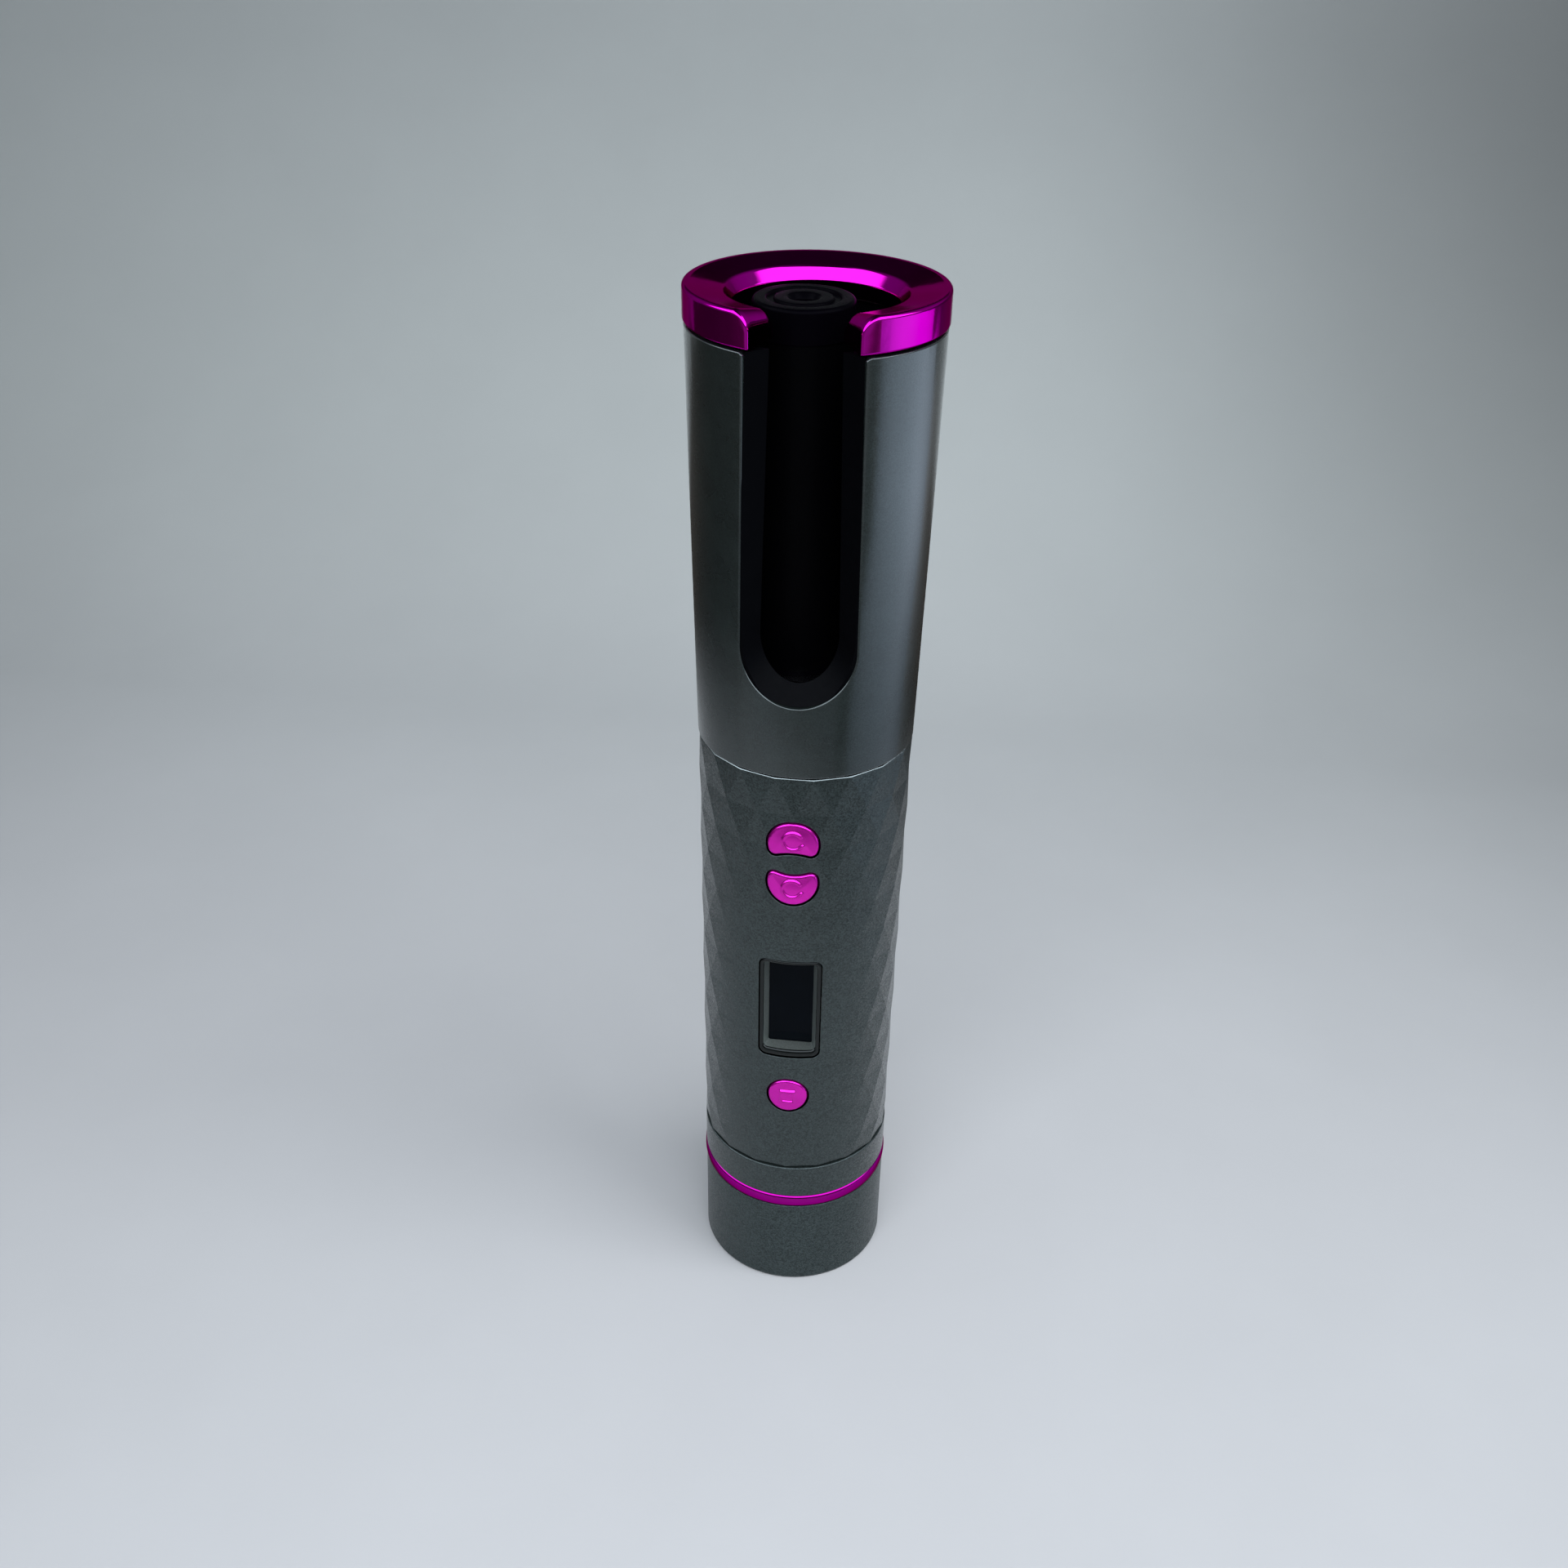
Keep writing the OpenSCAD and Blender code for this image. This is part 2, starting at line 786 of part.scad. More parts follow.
module display_bezel() {
    rim = 0.35;
    rim_y = -19.4;
    outer_half = window_w / 2 - rim;
    far_y = -22.4;
    far_half = outer_half + (outer_half - glass_half_w) * (rim_y - far_y) / (glass_front_y - rim_y);
    far_top_z = window_top_z;
    far_low_z = window_low_z - 0.85;
    color(gunmetal)
        difference() {
            bezel_blank();
            intersection() {
                translate([0, 0, window_low_z - 2])
                    linear_extrude(window_h + 4)
                        polygon([
                            [-glass_half_w, glass_front_y + 1], [-glass_half_w, glass_front_y],
                            [-far_half, far_y],
                            [far_half, far_y], [glass_half_w, glass_front_y],
                            [glass_half_w, glass_front_y + 1]
                        ]);
                translate([-10, 0, 0])
                    rotate([90, 0, 90])
                        linear_extrude(20)
                            polygon([
                                [glass_front_y + 1, glass_low_z], [glass_front_y, glass_low_z],
                                [far_y, far_low_z],
                                [far_y, far_top_z], [glass_front_y, glass_top_z],
                                [glass_front_y + 1, glass_top_z]
                            ]);
            }
        }
}

module display_lens() {
    color(black)
        translate([-5.6, glass_front_y + 0.05, window_low_z - 0.6])
            cube([11.2, 0.8, window_h + 1]);
}

module lcd_module() {
    color(white_plastic)
        translate([-6.4, glass_front_y + 0.95, window_low_z - 1.5])
            cube([12.8, board_front_y - glass_front_y - 1, window_h + 2.4]);
}

switch_z = [bean_mid_z + bean_stem_z, bean_mid_z - bean_stem_z, round_button_z];

module switch_bodies() {
    color(dark_grey)
        for (z = switch_z)
            difference() {
                translate([-2.25, -13.85, z - 2.25])
                    cube([4.5, 13.85 + board_front_y - 0.02, 4.5]);
                translate([0, -13, z])
                    rotate([90, 0, 0])
                        cylinder(h = 2, r = 1.1);
            }
}

module plunger(z) {
    color(white_plastic)
        translate([0, -13.65, z])
            rotate([90, 0, 0])
                cylinder(h = 0.93, r = 1);
}

module plunger_curl_left() {
    plunger(switch_z[0]);
}

module plunger_curl_right() {
    plunger(switch_z[1]);
}

module plunger_mode() {
    plunger(switch_z[2]);
}

// ---------- boards, frame and battery ----------

board_screw_spots = [[-9.6, 44], [9.6, 44], [-9.6, 118], [9.6, 118]];

module main_board() {
    color(board_green)
        difference() {
            translate([-11.5, board_front_y, 40])
                cube([23, board_back_y - board_front_y, 82]);
            for (p = board_screw_spots)
                translate([p[0], board_back_y + 1, p[1]])
                    rotate([90, 0, 0])
                        cylinder(h = 4, r = 0.95);
        }
}

module board_parts() {
    chips = [[-8, 92, 5, 5], [3.5, 92, 5, 7], [-9, 74, 2, 8], [7.2, 74, 2, 6], [-10.5, 60, 3, 4]];
    color(dark_grey)
        for (c = chips)
            translate([c[0], board_front_y - 1.05, c[1]])
                cube([c[2], 1.03, c[3]]);
}

module board_screw(length) {
    rotate([90, 0, 0])
        screw(1.5, 0.9, 0.8, length);
}

module board_screws() {
    color(steel) {
        for (p = board_screw_spots)
            translate([p[0], board_front_y - 0.02, p[1]])
                board_screw(3.2);
        for (y = post_y)
            translate([0, y, 11.02])
                screw(1.5, 0.9, 0.8, 3.2);
    }
}

module inner_frame() {
    plate_front_y = -9.3;
    plate_back_y = -8.1;
    foot_low_z = 26;
    foot_top_z = 28.4;
    color(white_plastic)
        difference() {
            union() {
                translate([-11.5, plate_front_y, foot_low_z + 1])
                    cube([23, plate_back_y - plate_front_y, 97]);
                for (p = board_screw_spots)
                    translate([p[0], plate_front_y + 0.2, p[1]])
                        rotate([90, 0, 0])
                            cylinder(h = plate_front_y + 0.2 - board_back_y - 0.02, r = 1.9);
                translate([0, 0, foot_low_z])
                    cylinder(h = foot_top_z - foot_low_z, r = 16.4);
                for (side = [-1, 1])
                    translate([side * tower_x, tower_y, 118.5])
                        cylinder(h = bulkhead_low_z - 118.6, r = 1.9);
                intersection() {
                    translate([0, cell_y, foot_low_z + 1])
                        cylinder(h = 73.5, r = cell_r + 1.3);
                    translate([-13, -8.5, foot_low_z])
                        cube([26, 17.5, 90]);
                }
                translate([-1, plate_back_y - 0.2, foot_low_z + 1])
                    cube([2, 3, 73.5]);
            }
            translate([0, cell_y, foot_top_z])
                cylinder(h = 90, r = cell_r + 0.15);
            for (p = board_screw_spots)
                translate([p[0], plate_back_y + 1, p[1]])
                    rotate([90, 0, 0])
                        cylinder(h = 6, r = 0.82);
            for (side = [-1, 1]) {
                translate([side * tower_x, tower_y, 122])
                    cylinder(h = 8, r = 0.85);
                translate([side * base_screw_x, 0, foot_low_z - 1])
                    cylinder(h = 4, r = 1.02);
            }
            translate([-3, -13.5, foot_low_z - 1])
                cube([6, 3.5, 5]);
            translate([-1.3, -9.6, foot_top_z])
                cube([2.6, 6, 2.4]);
            translate([-7, -10, 98.5])
                cube([14, 3, 16.5]);
        }
}

module frame_screws() {
    color(steel) {
        for (side = [-1, 1])
            translate([side * tower_x, tower_y, bulkhead_top_z - 1.4])
                screw(1.8, 1.1, 0.82, 6);
        for (a = [180, 270, 360])
            rotate([0, 0, a])
                translate([anchor_screw_r, 0, anchor_low_z - 0.02])
                    mirror([0, 0, 1])
                        screw(1.7, 1.1, 0.82, 3.6);
    }
}

module battery_cell() {
    color(cell_wrap)
        translate([0, cell_y, 0]) {
            translate([0, 0, cell_low_z])
                cylinder(h = cell_top_z - cell_low_z, r = cell_r);
            translate([0, 0, cell_top_z - eps])
                cylinder(h = 1, r = 3.2);
        }
}

module battery_tabs() {
    color(steel) {
        translate([-2.5, cell_y - 6, cell_top_z + 1.02])
            cube([5, 9, 0.2]);
        translate([-2.5, cell_y - 6, cell_low_z - 0.25])
            cube([5, 9, 0.2]);
    }
}

// ---------- base ----------

inlet_y = 7.5;
post_y = [-4.5, 12];

module base_collar() {
    color(gunmetal)
        rotate_extrude()
            polygon([
                [17.75, ring_top_z + 0.05], [handle_low_r - 0.05, ring_top_z + 0.05],
                [handle_low_r, ring_top_z + 0.2],
                [handle_low_r + 0.02, collar_top_z - 0.15], [handle_low_r - 0.12, collar_top_z],
                [17.45, collar_top_z], [17.45, collar_top_z + 3.2], [16.6, collar_top_z + 3.2],
                [16.6, collar_top_z - 1.6], [17.75, collar_top_z - 1.6]
            ]);
}

module trim_ring() {
    bulge = 0.22;
    mid_z = (ring_low_z + ring_top_z) / 2;
    half_h = (ring_top_z - ring_low_z) / 2;
    bow_r = (half_h * half_h + bulge * bulge) / (2 * bulge);
    bow_angle = asin(half_h / bow_r);
    color(magenta)
        rotate_extrude()
            polygon(concat(
                [[17.75, ring_top_z - 0.02], [17.75, ring_low_z + 0.02]],
                arc_pts(handle_low_r + bulge - bow_r, mid_z, bow_r, -bow_angle * 0.98, bow_angle * 0.98, 8)));
}

module base_cup() {
    floor_t = 2;
    color(gunmetal)
        difference() {
            union() {
                rotate_extrude()
                    polygon([
                        [0, 0], [base_r - 0.7, 0], [base_r - 0.2, 0.2], [base_r, 0.7],
                        [handle_low_r - 0.06, ring_low_z - 0.15],
                        [handle_low_r - 0.15, ring_low_z], [17.65, ring_low_z], [17.65, 30.6], [16.6, 30.6],
                        [16.6, ring_low_z - 2], [17.5, ring_low_z - 3], [17.5, floor_t], [0, floor_t]
                    ]);
                for (side = [-1, 1]) {
                    translate([side * base_screw_x, 0, floor_t - 0.5])
                        cylinder(h = 24.3, r = 2.8);
                }
                for (y = post_y)
                    translate([0, y, floor_t - 0.5])
                        cylinder(h = 8.3, r = 1.9);
            }
            for (side = [-1, 1]) {
                translate([side * base_screw_x, 0, -1])
                    cylinder(h = 40, r = 1.15);
                translate([side * base_screw_x, 0, -1])
                    cylinder(h = 4, r = 2.1);
            }
            for (y = post_y)
                translate([0, y, 5])
                    cylinder(h = 8, r = 0.82);
            translate([0, inlet_y, -1])
                linear_extrude(4)
                    rounded_plate(9.5, 3.7, 1.8);
        }
}

module base_screws() {
    color(steel)
        for (side = [-1, 1])
            translate([side * base_screw_x, 0, 2.95])
                mirror([0, 0, 1])
                    screw(2, 1.3, 1, 24.8);
}

module charge_board() {
    color(board_green)
        difference() {
            translate([-7.5, -6.6, 9.85])
                cube([15, 20.6, 1.15]);
            for (y = post_y)
                translate([0, y, 9])
                    cylinder(h = 3, r = 0.95);
        }
}

module charge_inlet() {
    color(steel)
        difference() {
            translate([0, inlet_y, 0.6])
                linear_extrude(9.2)
                    rounded_plate(8.94, 3.16, 1.5);
            translate([0, inlet_y, 0])
                linear_extrude(7)
                    rounded_plate(8.34, 2.56, 1.2);
        }
    color(black)
        translate([-3.35, inlet_y - 0.35, 1.2])
            cube([6.7, 0.7, 6]);
}

// ---------- wires ----------

wire_r = 0.55;

module heater_leads() {
    color([0.8, 0.2, 0.15])
        for (side = [-1, 1])
            wire([
                [side * 2.2 - 2, 0, spreader_low_z + 0.4], [side * 2.2 - 1.2, 0, 146],
                [side * 2.2 - 1.2, 0, 125],
                [side * 3, -7.2, 119], [side * 3, -7.2, 108], [side * 3, -10.5, 108]
            ], wire_r);
}

module sensor_leads() {
    color([0.85, 0.8, 0.3]) {
        wire([
            [-rod_shift, -4.4, spreader_low_z + 4], [-rod_shift, -4.4, 150.8], [-1.2, -2.4, 148],
            [-1.2, -2.4, 125],
            [-0.6, -7.2, 121], [-0.6, -7.2, 113], [-0.6, -10.5, 113]
        ], 0.35);
        wire([
            [-rod_shift, 4.4, spreader_low_z + 1.5], [-rod_shift, 4.4, 150.8], [-1.2, 2.4, 148],
            [-1.2, 2.4, 124.5],
            [0.8, -6, 120.5], [0.8, -7.2, 113], [0.8, -10.5, 113]
        ], 0.35);
    }
}

module motor_leads() {
    color([0.2, 0.2, 0.7])
        for (side = [-1, 1])
            wire([
                [side * 4, pinion_y, 104.7], [side * 4, pinion_y, 103], [side * 6, -2, 103],
                [side * 6, -7.2, 104],
                [side * 6, -10.5, 104]
            ], 0.45);
}

module battery_leads() {
    color([0.75, 0.1, 0.1]) {
        wire([[2.3, cell_y - 5, 101.5], [2.3, -6.9, 102], [2.3, -6.9, 99.6], [2.3, -10.5, 99.6]], 0.5);
        wire([[0, 2, 28.84], [0, -11.2, 28.84], [0, -11.2, 39.95]], 0.38);
    }
}

module charge_leads() {
    color([0.1, 0.1, 0.1])
        for (side = [-1, 1])
            wire([
                [side * 3.5, -5.6, 11], [side * 3.5, -5.6, 14], [side * 2, -12, 20], [side * 2, -12, 34],
                [side * 2, -11.25, 39.85]
            ], 0.45);
}

top_cap();
barrel_shell();
slot_liner();
handle_shell();
base_collar();
trim_ring();
base_cup();
display_bezel();
display_lens();
button_curl_left();
button_curl_right();
button_mode();
rotor_drum();
rotor_ring_gear();
home_magnet();
rotor_bush();
rotor_washer();
heater_tube();
heat_spreaders();
heater_element();
thermal_fuse();
thermistor();
rod_holder();
rod_anchor();
rod_end_cap();
rod_end_screw();
bulkhead();
drive_motor();
motor_gearbox();
drive_pinion();
gearbox_screws();
hall_sensor();
inner_frame();
main_board();
board_parts();
lcd_module();
switch_bodies();
plunger_curl_left();
plunger_curl_right();
plunger_mode();
battery_cell();
battery_tabs();
charge_board();
charge_inlet();
board_screws();
frame_screws();
base_screws();
heater_leads();
sensor_leads();
motor_leads();
battery_leads();
charge_leads();
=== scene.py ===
import math

import bmesh
import bpy
import numpy as np
from mathutils import Matrix, Vector, geometry


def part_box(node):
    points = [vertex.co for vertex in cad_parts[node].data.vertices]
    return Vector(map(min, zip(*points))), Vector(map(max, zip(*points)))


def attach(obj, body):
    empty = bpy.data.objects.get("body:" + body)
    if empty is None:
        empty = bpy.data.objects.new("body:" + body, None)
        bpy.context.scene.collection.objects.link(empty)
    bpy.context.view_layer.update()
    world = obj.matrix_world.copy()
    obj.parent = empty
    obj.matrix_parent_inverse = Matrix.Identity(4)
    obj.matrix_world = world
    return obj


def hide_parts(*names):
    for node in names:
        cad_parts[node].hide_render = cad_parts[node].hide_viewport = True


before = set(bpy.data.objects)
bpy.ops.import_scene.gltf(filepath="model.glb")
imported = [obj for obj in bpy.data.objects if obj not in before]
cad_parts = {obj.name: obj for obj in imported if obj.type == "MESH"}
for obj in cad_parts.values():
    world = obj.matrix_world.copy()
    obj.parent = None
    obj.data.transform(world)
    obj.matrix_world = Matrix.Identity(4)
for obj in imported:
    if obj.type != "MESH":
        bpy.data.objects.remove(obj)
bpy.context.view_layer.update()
MM = 0.001
scene = bpy.context.scene


def box_mm(node):
    """Lowest and highest corner of a CAD node, in millimetres."""
    low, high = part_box(node)
    return np.array(low) / MM, np.array(high) / MM


# ---- levels and sizes, in millimetres
_, cap_hi = box_mm("top_cap")
shell_lo, shell_hi = box_mm("barrel_shell")
grip_lo, grip_hi = box_mm("handle_shell")
collar_lo, collar_hi = box_mm("base_collar")
ring_lo, ring_hi = box_mm("trim_ring")
rod_cap_lo, rod_cap_hi = box_mm("rod_end_cap")
bezel_lo, bezel_hi = box_mm("display_bezel")

TOTAL_H = cap_hi[2]
CAP_R = cap_hi[0]
CAP_LOW = shell_hi[2] + 0.5
CAP_GAP = math.radians(23.5)
CAP_GAP_ROUND = 3.2
FUNNEL_R = 15.3
BORE_R = 14.0
SHELL_LOW, SHELL_TOP = shell_lo[2], shell_hi[2]
SHELL_TOP_R = shell_hi[0]
SEAM_R = 20.45
SHELL_WALL = 1.5
SLOT_TOP_HALF, SLOT_LOW_HALF, SLOT_BOTTOM = 9.9, 10.35, 142.95
GRIP_LOW, GRIP_TOP = grip_lo[2], grip_hi[2]
GRIP_LOW_R = 19.55
FACETS, ROW_H, ROWS = 18, 7.52, 12
TOP_CHAMFER = 0.35
LOW_ROUND = 0.25
BEAN_MID_Z = 109.65
ROUND_R, ROUND_Z = 4.15, 52.8
BUTTON_GAP, BUTTON_PROUD = 0.25, 0.10
MARK_Z, EDGE_SHADOW = 5.35, 0.14
LOW_RIM_EXTRA = 0.7
BEZEL_GAP, WINDOW_CORNER = 0.1, 1.6
WINDOW_W = bezel_hi[0] - bezel_lo[0] + 2 * BEZEL_GAP
WINDOW_TOP, WINDOW_LOW = bezel_hi[2] + BEZEL_GAP, bezel_lo[2] - BEZEL_GAP
ROD_X = (rod_cap_lo[0] + rod_cap_hi[0]) / 2
END_CAP_R = (rod_cap_hi[0] - rod_cap_lo[0]) / 2
END_FACE = rod_cap_hi[2]


def grip_r(z):
    """Radius of the cone that the handle's facet corners lie on."""
    return GRIP_LOW_R + (SEAM_R - 0.08 - GRIP_LOW_R) * (z - GRIP_LOW) / (GRIP_TOP - GRIP_LOW)


def shell_r(z):
    """Radius of the tapered shell."""
    return SEAM_R + (SHELL_TOP_R - SEAM_R) * (z - SHELL_LOW) / (SHELL_TOP - SHELL_LOW)


# ---- camera
LENS, SENSOR = 38.469, 36.0
EYE = Vector((24.83, -278.21, 283.43)) * MM
PITCH, YAW, ROLL, HEADING = 0.542, -0.014, 0.019, math.radians(5.1)


def make_camera():
    """The camera that took the photograph, as solved from the object's outline, seams and base circle."""
    forward = Vector((math.sin(YAW) * math.cos(PITCH), math.cos(YAW) * math.cos(PITCH), -math.sin(PITCH)))
    right = Vector((math.cos(YAW), -math.sin(YAW), 0))
    up = right.cross(forward)
    side = right * math.cos(ROLL) + up * math.sin(ROLL)
    top = up * math.cos(ROLL) - right * math.sin(ROLL)
    turn = Matrix.Rotation(HEADING, 3, "Z")
    axes = [turn @ side, turn @ top, turn @ -forward]
    data = bpy.data.cameras.new("camera")
    data.lens, data.sensor_width = LENS, SENSOR
    data.clip_start, data.clip_end = 0.01, 50
    cam = bpy.data.objects.new("camera", data)
    cam.matrix_world = Matrix.Translation(EYE) @ Matrix([list(row) for row in zip(*axes)]).to_4x4()
    scene.collection.objects.link(cam)
    scene.camera = cam


make_camera()
scene.view_settings.view_transform = "Standard"
scene.view_settings.look = "None"


# ---- material helpers
class Graph:
    """A node tree, of a new material unless it is given an owner, with short ways to add nodes."""

    def __init__(self, name, owner=None):
        self.mat = owner or bpy.data.materials.new(name)
        self.mat.use_nodes = True
        self.tree = self.mat.node_tree
        self.bsdf = self.tree.nodes.get("Principled BSDF")

    def node(self, kind, **inputs):
        made = self.tree.nodes.new(kind)
        for key, value in inputs.items():
            self.put(made.inputs[key.replace("_", " ")], value)
        return made

    def put(self, socket, value):
        if isinstance(value, bpy.types.NodeSocket):
            self.tree.links.new(value, socket)
        else:
            socket.default_value = value

    def set(self, **values):
        for key, value in values.items():
            self.put(self.bsdf.inputs[key.replace("_", " ")], value)

    def coords(self):
        return self.node("ShaderNodeTexCoord").outputs["Object"]

    def noise(self, size, detail=3.0, rough=0.55, stretch=(1, 1, 1)):
        """Noise whose blobs are about size metres across."""
        where = self.node("ShaderNodeMapping", Vector=self.coords(), Scale=stretch)
        tex = self.node("ShaderNodeTexNoise", Vector=where.outputs[0], Scale=1 / size, Detail=detail,
                        Roughness=rough)
        return tex.outputs["Fac"]

    def cells(self, size):
        """Random colour per small cell, about size metres across."""
        tex = self.node("ShaderNodeTexVoronoi", Vector=self.coords(), Scale=1 / size)
        return tex.outputs["Color"]

    def remap(self, value, low, high, to_low, to_high, smooth=False):
        made = self.node("ShaderNodeMapRange", Value=value, From_Min=low, From_Max=high, To_Min=to_low,
                         To_Max=to_high)
        made.interpolation_type = "SMOOTHSTEP" if smooth else "LINEAR"
        return made.outputs["Result"]

    def mix(self, factor, a, b, blend="MIX"):
        made = self.tree.nodes.new("ShaderNodeMix")
        made.data_type = "RGBA"
        made.blend_type = blend
        colours = [s for s in made.inputs if s.type == "RGBA"]
        self.put(made.inputs[0], factor)
        for socket, value in zip(colours, (a, b)):
            self.put(socket, value if isinstance(value, bpy.types.NodeSocket) else (*value, 1))
        return [s for s in made.outputs if s.type == "RGBA"][0]

    def math(self, kind, a, b=0.0):
        made = self.tree.nodes.new("ShaderNodeMath")
        made.operation = kind
        self.put(made.inputs[0], a)
        self.put(made.inputs[1], b)
        return made.outputs[0]

    def vector(self, kind, a, b=None, scale=None):
        made = self.tree.nodes.new("ShaderNodeVectorMath")
        made.operation = kind
        self.put(made.inputs[0], a)
        if b is not None:
            self.put(made.inputs[1], b)
        if scale is not None:
            self.put(made.inputs["Scale"], scale)
        return made.outputs["Vector"]

    def bump(self, height, depth, under=None):
        """Relief of depth metres for a height that runs from 0 to 1."""
        made = self.node("ShaderNodeBump", Height=height, Distance=depth, Strength=1.0)
        if under is not None:
            self.put(made.inputs["Normal"], under)
        return made.outputs["Normal"]

    def flaked_normal(self, cell_colour, amount):
        """The surface normal tipped a little at random in each flake."""
        tipped = self.vector("SUBTRACT", cell_colour, (0.5, 0.5, 0.5))
        tipped = self.vector("SCALE", tipped, scale=amount)
        normal = self.node("ShaderNodeNewGeometry").outputs["Normal"]
        return self.vector("NORMALIZE", self.vector("ADD", normal, tipped))

    def show(self, factor, first, second):
        """Sends a blend of two shaders to the output."""
        blend = self.node("ShaderNodeMixShader", Fac=factor)
        self.put(blend.inputs[1], first.outputs[0])
        self.put(blend.inputs[2], second.outputs[0])
        end = next(n for n in self.tree.nodes if n.type.startswith("OUTPUT"))
        self.put(end.inputs["Surface"], blend.outputs[0])


def shade(colour, factor):
    return tuple(min(1.0, c * factor) for c in colour)


def uneven(g, noise, low, high):
    """A value that drifts between low and high with a noise."""
    return g.remap(noise, 0.25, 0.75, low, high)


def cloudy(g, noise, dark, light):
    """Colour that drifts between two shades with a noise."""
    return g.mix(g.remap(noise, 0.3, 0.7, 0, 1), dark, light)


def chrome_paint(name, colour):
    """Tinted mirror plating on plastic: faint orange peel, a few dust specks, slightly uneven gloss."""
    g = Graph(name)
    blotch = g.noise(0.004, 4)
    specks = g.remap(g.noise(0.0007, 2, 0.6), 0.70, 0.76, 0, 1)
    tint = cloudy(g, blotch, shade(colour, 0.93), colour)
    g.set(Base_Color=g.mix(g.math("MULTIPLY", specks, 0.35), tint, shade(colour, 0.55)))
    rough = g.math("ADD", uneven(g, blotch, 0.06, 0.12), g.math("MULTIPLY", specks, 0.15))
    g.set(Metallic=1.0, Roughness=rough, Normal=g.bump(g.noise(0.0022, 2), 0.000012))
    g.set(Specular_Tint=(0.40, 0.02, 0.22, 1))
    return g.mat


def button_paint(name, colour):
    """Tinted plating under clear lacquer: glossy, with a soft white sheen and slight unevenness."""
    g = Graph(name)
    cloud = g.noise(0.003, 3)
    g.set(Base_Color=cloudy(g, cloud, shade(colour, 0.9), shade(colour, 1.05)), Metallic=0.85)
    g.set(Roughness=g.remap(cloud, 0.3, 0.7, 0.14, 0.20), Normal=g.bump(g.noise(0.0016, 2), 0.000010))
    g.set(Coat_Weight=0.3, Coat_Roughness=0.05, Specular_Tint=(0.5, 0.05, 0.35, 1))
    return g.mat


def flake_paint(name, colour, rough, coat, coat_rough, coat_ior, flake_size, sparkle, tilt, mottle, depth):
    """Metallic flake lacquer: flakes that vary in shade and lean, over soft mottling of the coat."""
    g = Graph(name)
    cells = g.cells(flake_size)
    bright = g.node("ShaderNodeSeparateColor", Color=cells).outputs[0]
    cloud = g.noise(0.006, 4)
    base = cloudy(g, cloud, shade(colour, 1 - mottle), shade(colour, 1 + mottle))
    dark_flake = g.mix(sparkle, base, (0, 0, 0))
    light_flake = g.mix(sparkle * 0.5, base, shade(colour, 4))
    g.set(Base_Color=g.mix(bright, dark_flake, light_flake), Metallic=0.7, Specular_IOR_Level=0.25)
    g.set(Roughness=uneven(g, cloud, rough * 0.9, rough * 1.1))
    g.set(Normal=g.bump(g.noise(0.0011, 3, 0.6), depth, g.flaked_normal(cells, tilt)))
    g.set(Coat_Weight=coat, Coat_Roughness=coat_rough, Coat_IOR=coat_ior)
    g.set(Coat_Normal=g.bump(g.noise(0.0016, 3), depth * 0.6))
    return g.mat


def moulded(name, colour, rough, grain, depth, vary, gloss=0.5):
    """Moulded or coated plastic: fine texture, cloudy shade and gloss."""
    g = Graph(name)
    fine = g.noise(grain, 4, 0.6)
    g.set(Base_Color=cloudy(g, g.noise(0.005, 3), shade(colour, 1 - vary), shade(colour, 1 + vary)))
    g.set(Roughness=uneven(g, fine, rough * 0.85, rough * 1.15), Normal=g.bump(fine, depth))
    g.set(Specular_IOR_Level=gloss)
    return g.mat


def worked_metal(name, colour, rough, stretch, line_size=0.0003):
    """Bare or plated metal with the fine lines that drawing, rolling or turning leaves."""
    g = Graph(name)
    lines = g.noise(line_size, 3, 0.6, stretch)
    stain = g.remap(g.noise(0.003, 4), 0.35, 0.7, 0, 0.6)
    g.set(Base_Color=g.mix(stain, colour, shade(colour, 0.72)), Metallic=1.0)
    g.set(Roughness=uneven(g, lines, rough * 0.7, rough * 1.3), Normal=g.bump(lines, 0.000006))
    return g.mat


def board_mask(name):
    """Solder mask over copper tracks, which show as slightly lighter lines."""
    g = Graph(name)
    made = g.node("ShaderNodeTexBrick", Vector=g.coords(), Scale=260.0, Color1=(0.012, 0.10, 0.035, 1),
                  Color2=(0.010, 0.085, 0.03, 1), Mortar=(0.03, 0.17, 0.06, 1), Mortar_Size=0.03)
    haze = g.remap(g.noise(0.004), 0.3, 0.7, 0, 0.35)
    g.set(Base_Color=g.mix(haze, made.outputs["Color"], (0.008, 0.06, 0.02)))
    g.set(Roughness=g.remap(g.noise(0.0006), 0.3, 0.7, 0.25, 0.4))
    g.set(Normal=g.bump(made.outputs["Fac"], 0.00002))
    return g.mat


def wrap_film(name):
    """Shrink sleeve with faint wrinkles round the cell."""
    g = Graph(name)
    wrinkle = g.noise(0.003, 3, 0.5, (1, 1, 4))
    g.set(Base_Color=cloudy(g, wrinkle, (0.03, 0.10, 0.32), (0.05, 0.15, 0.42)))
    g.set(Roughness=g.remap(wrinkle, 0.3, 0.7, 0.2, 0.34), Normal=g.bump(wrinkle, 0.00008))
    return g.mat


MAGENTA = (0.62, 0.008, 0.44)
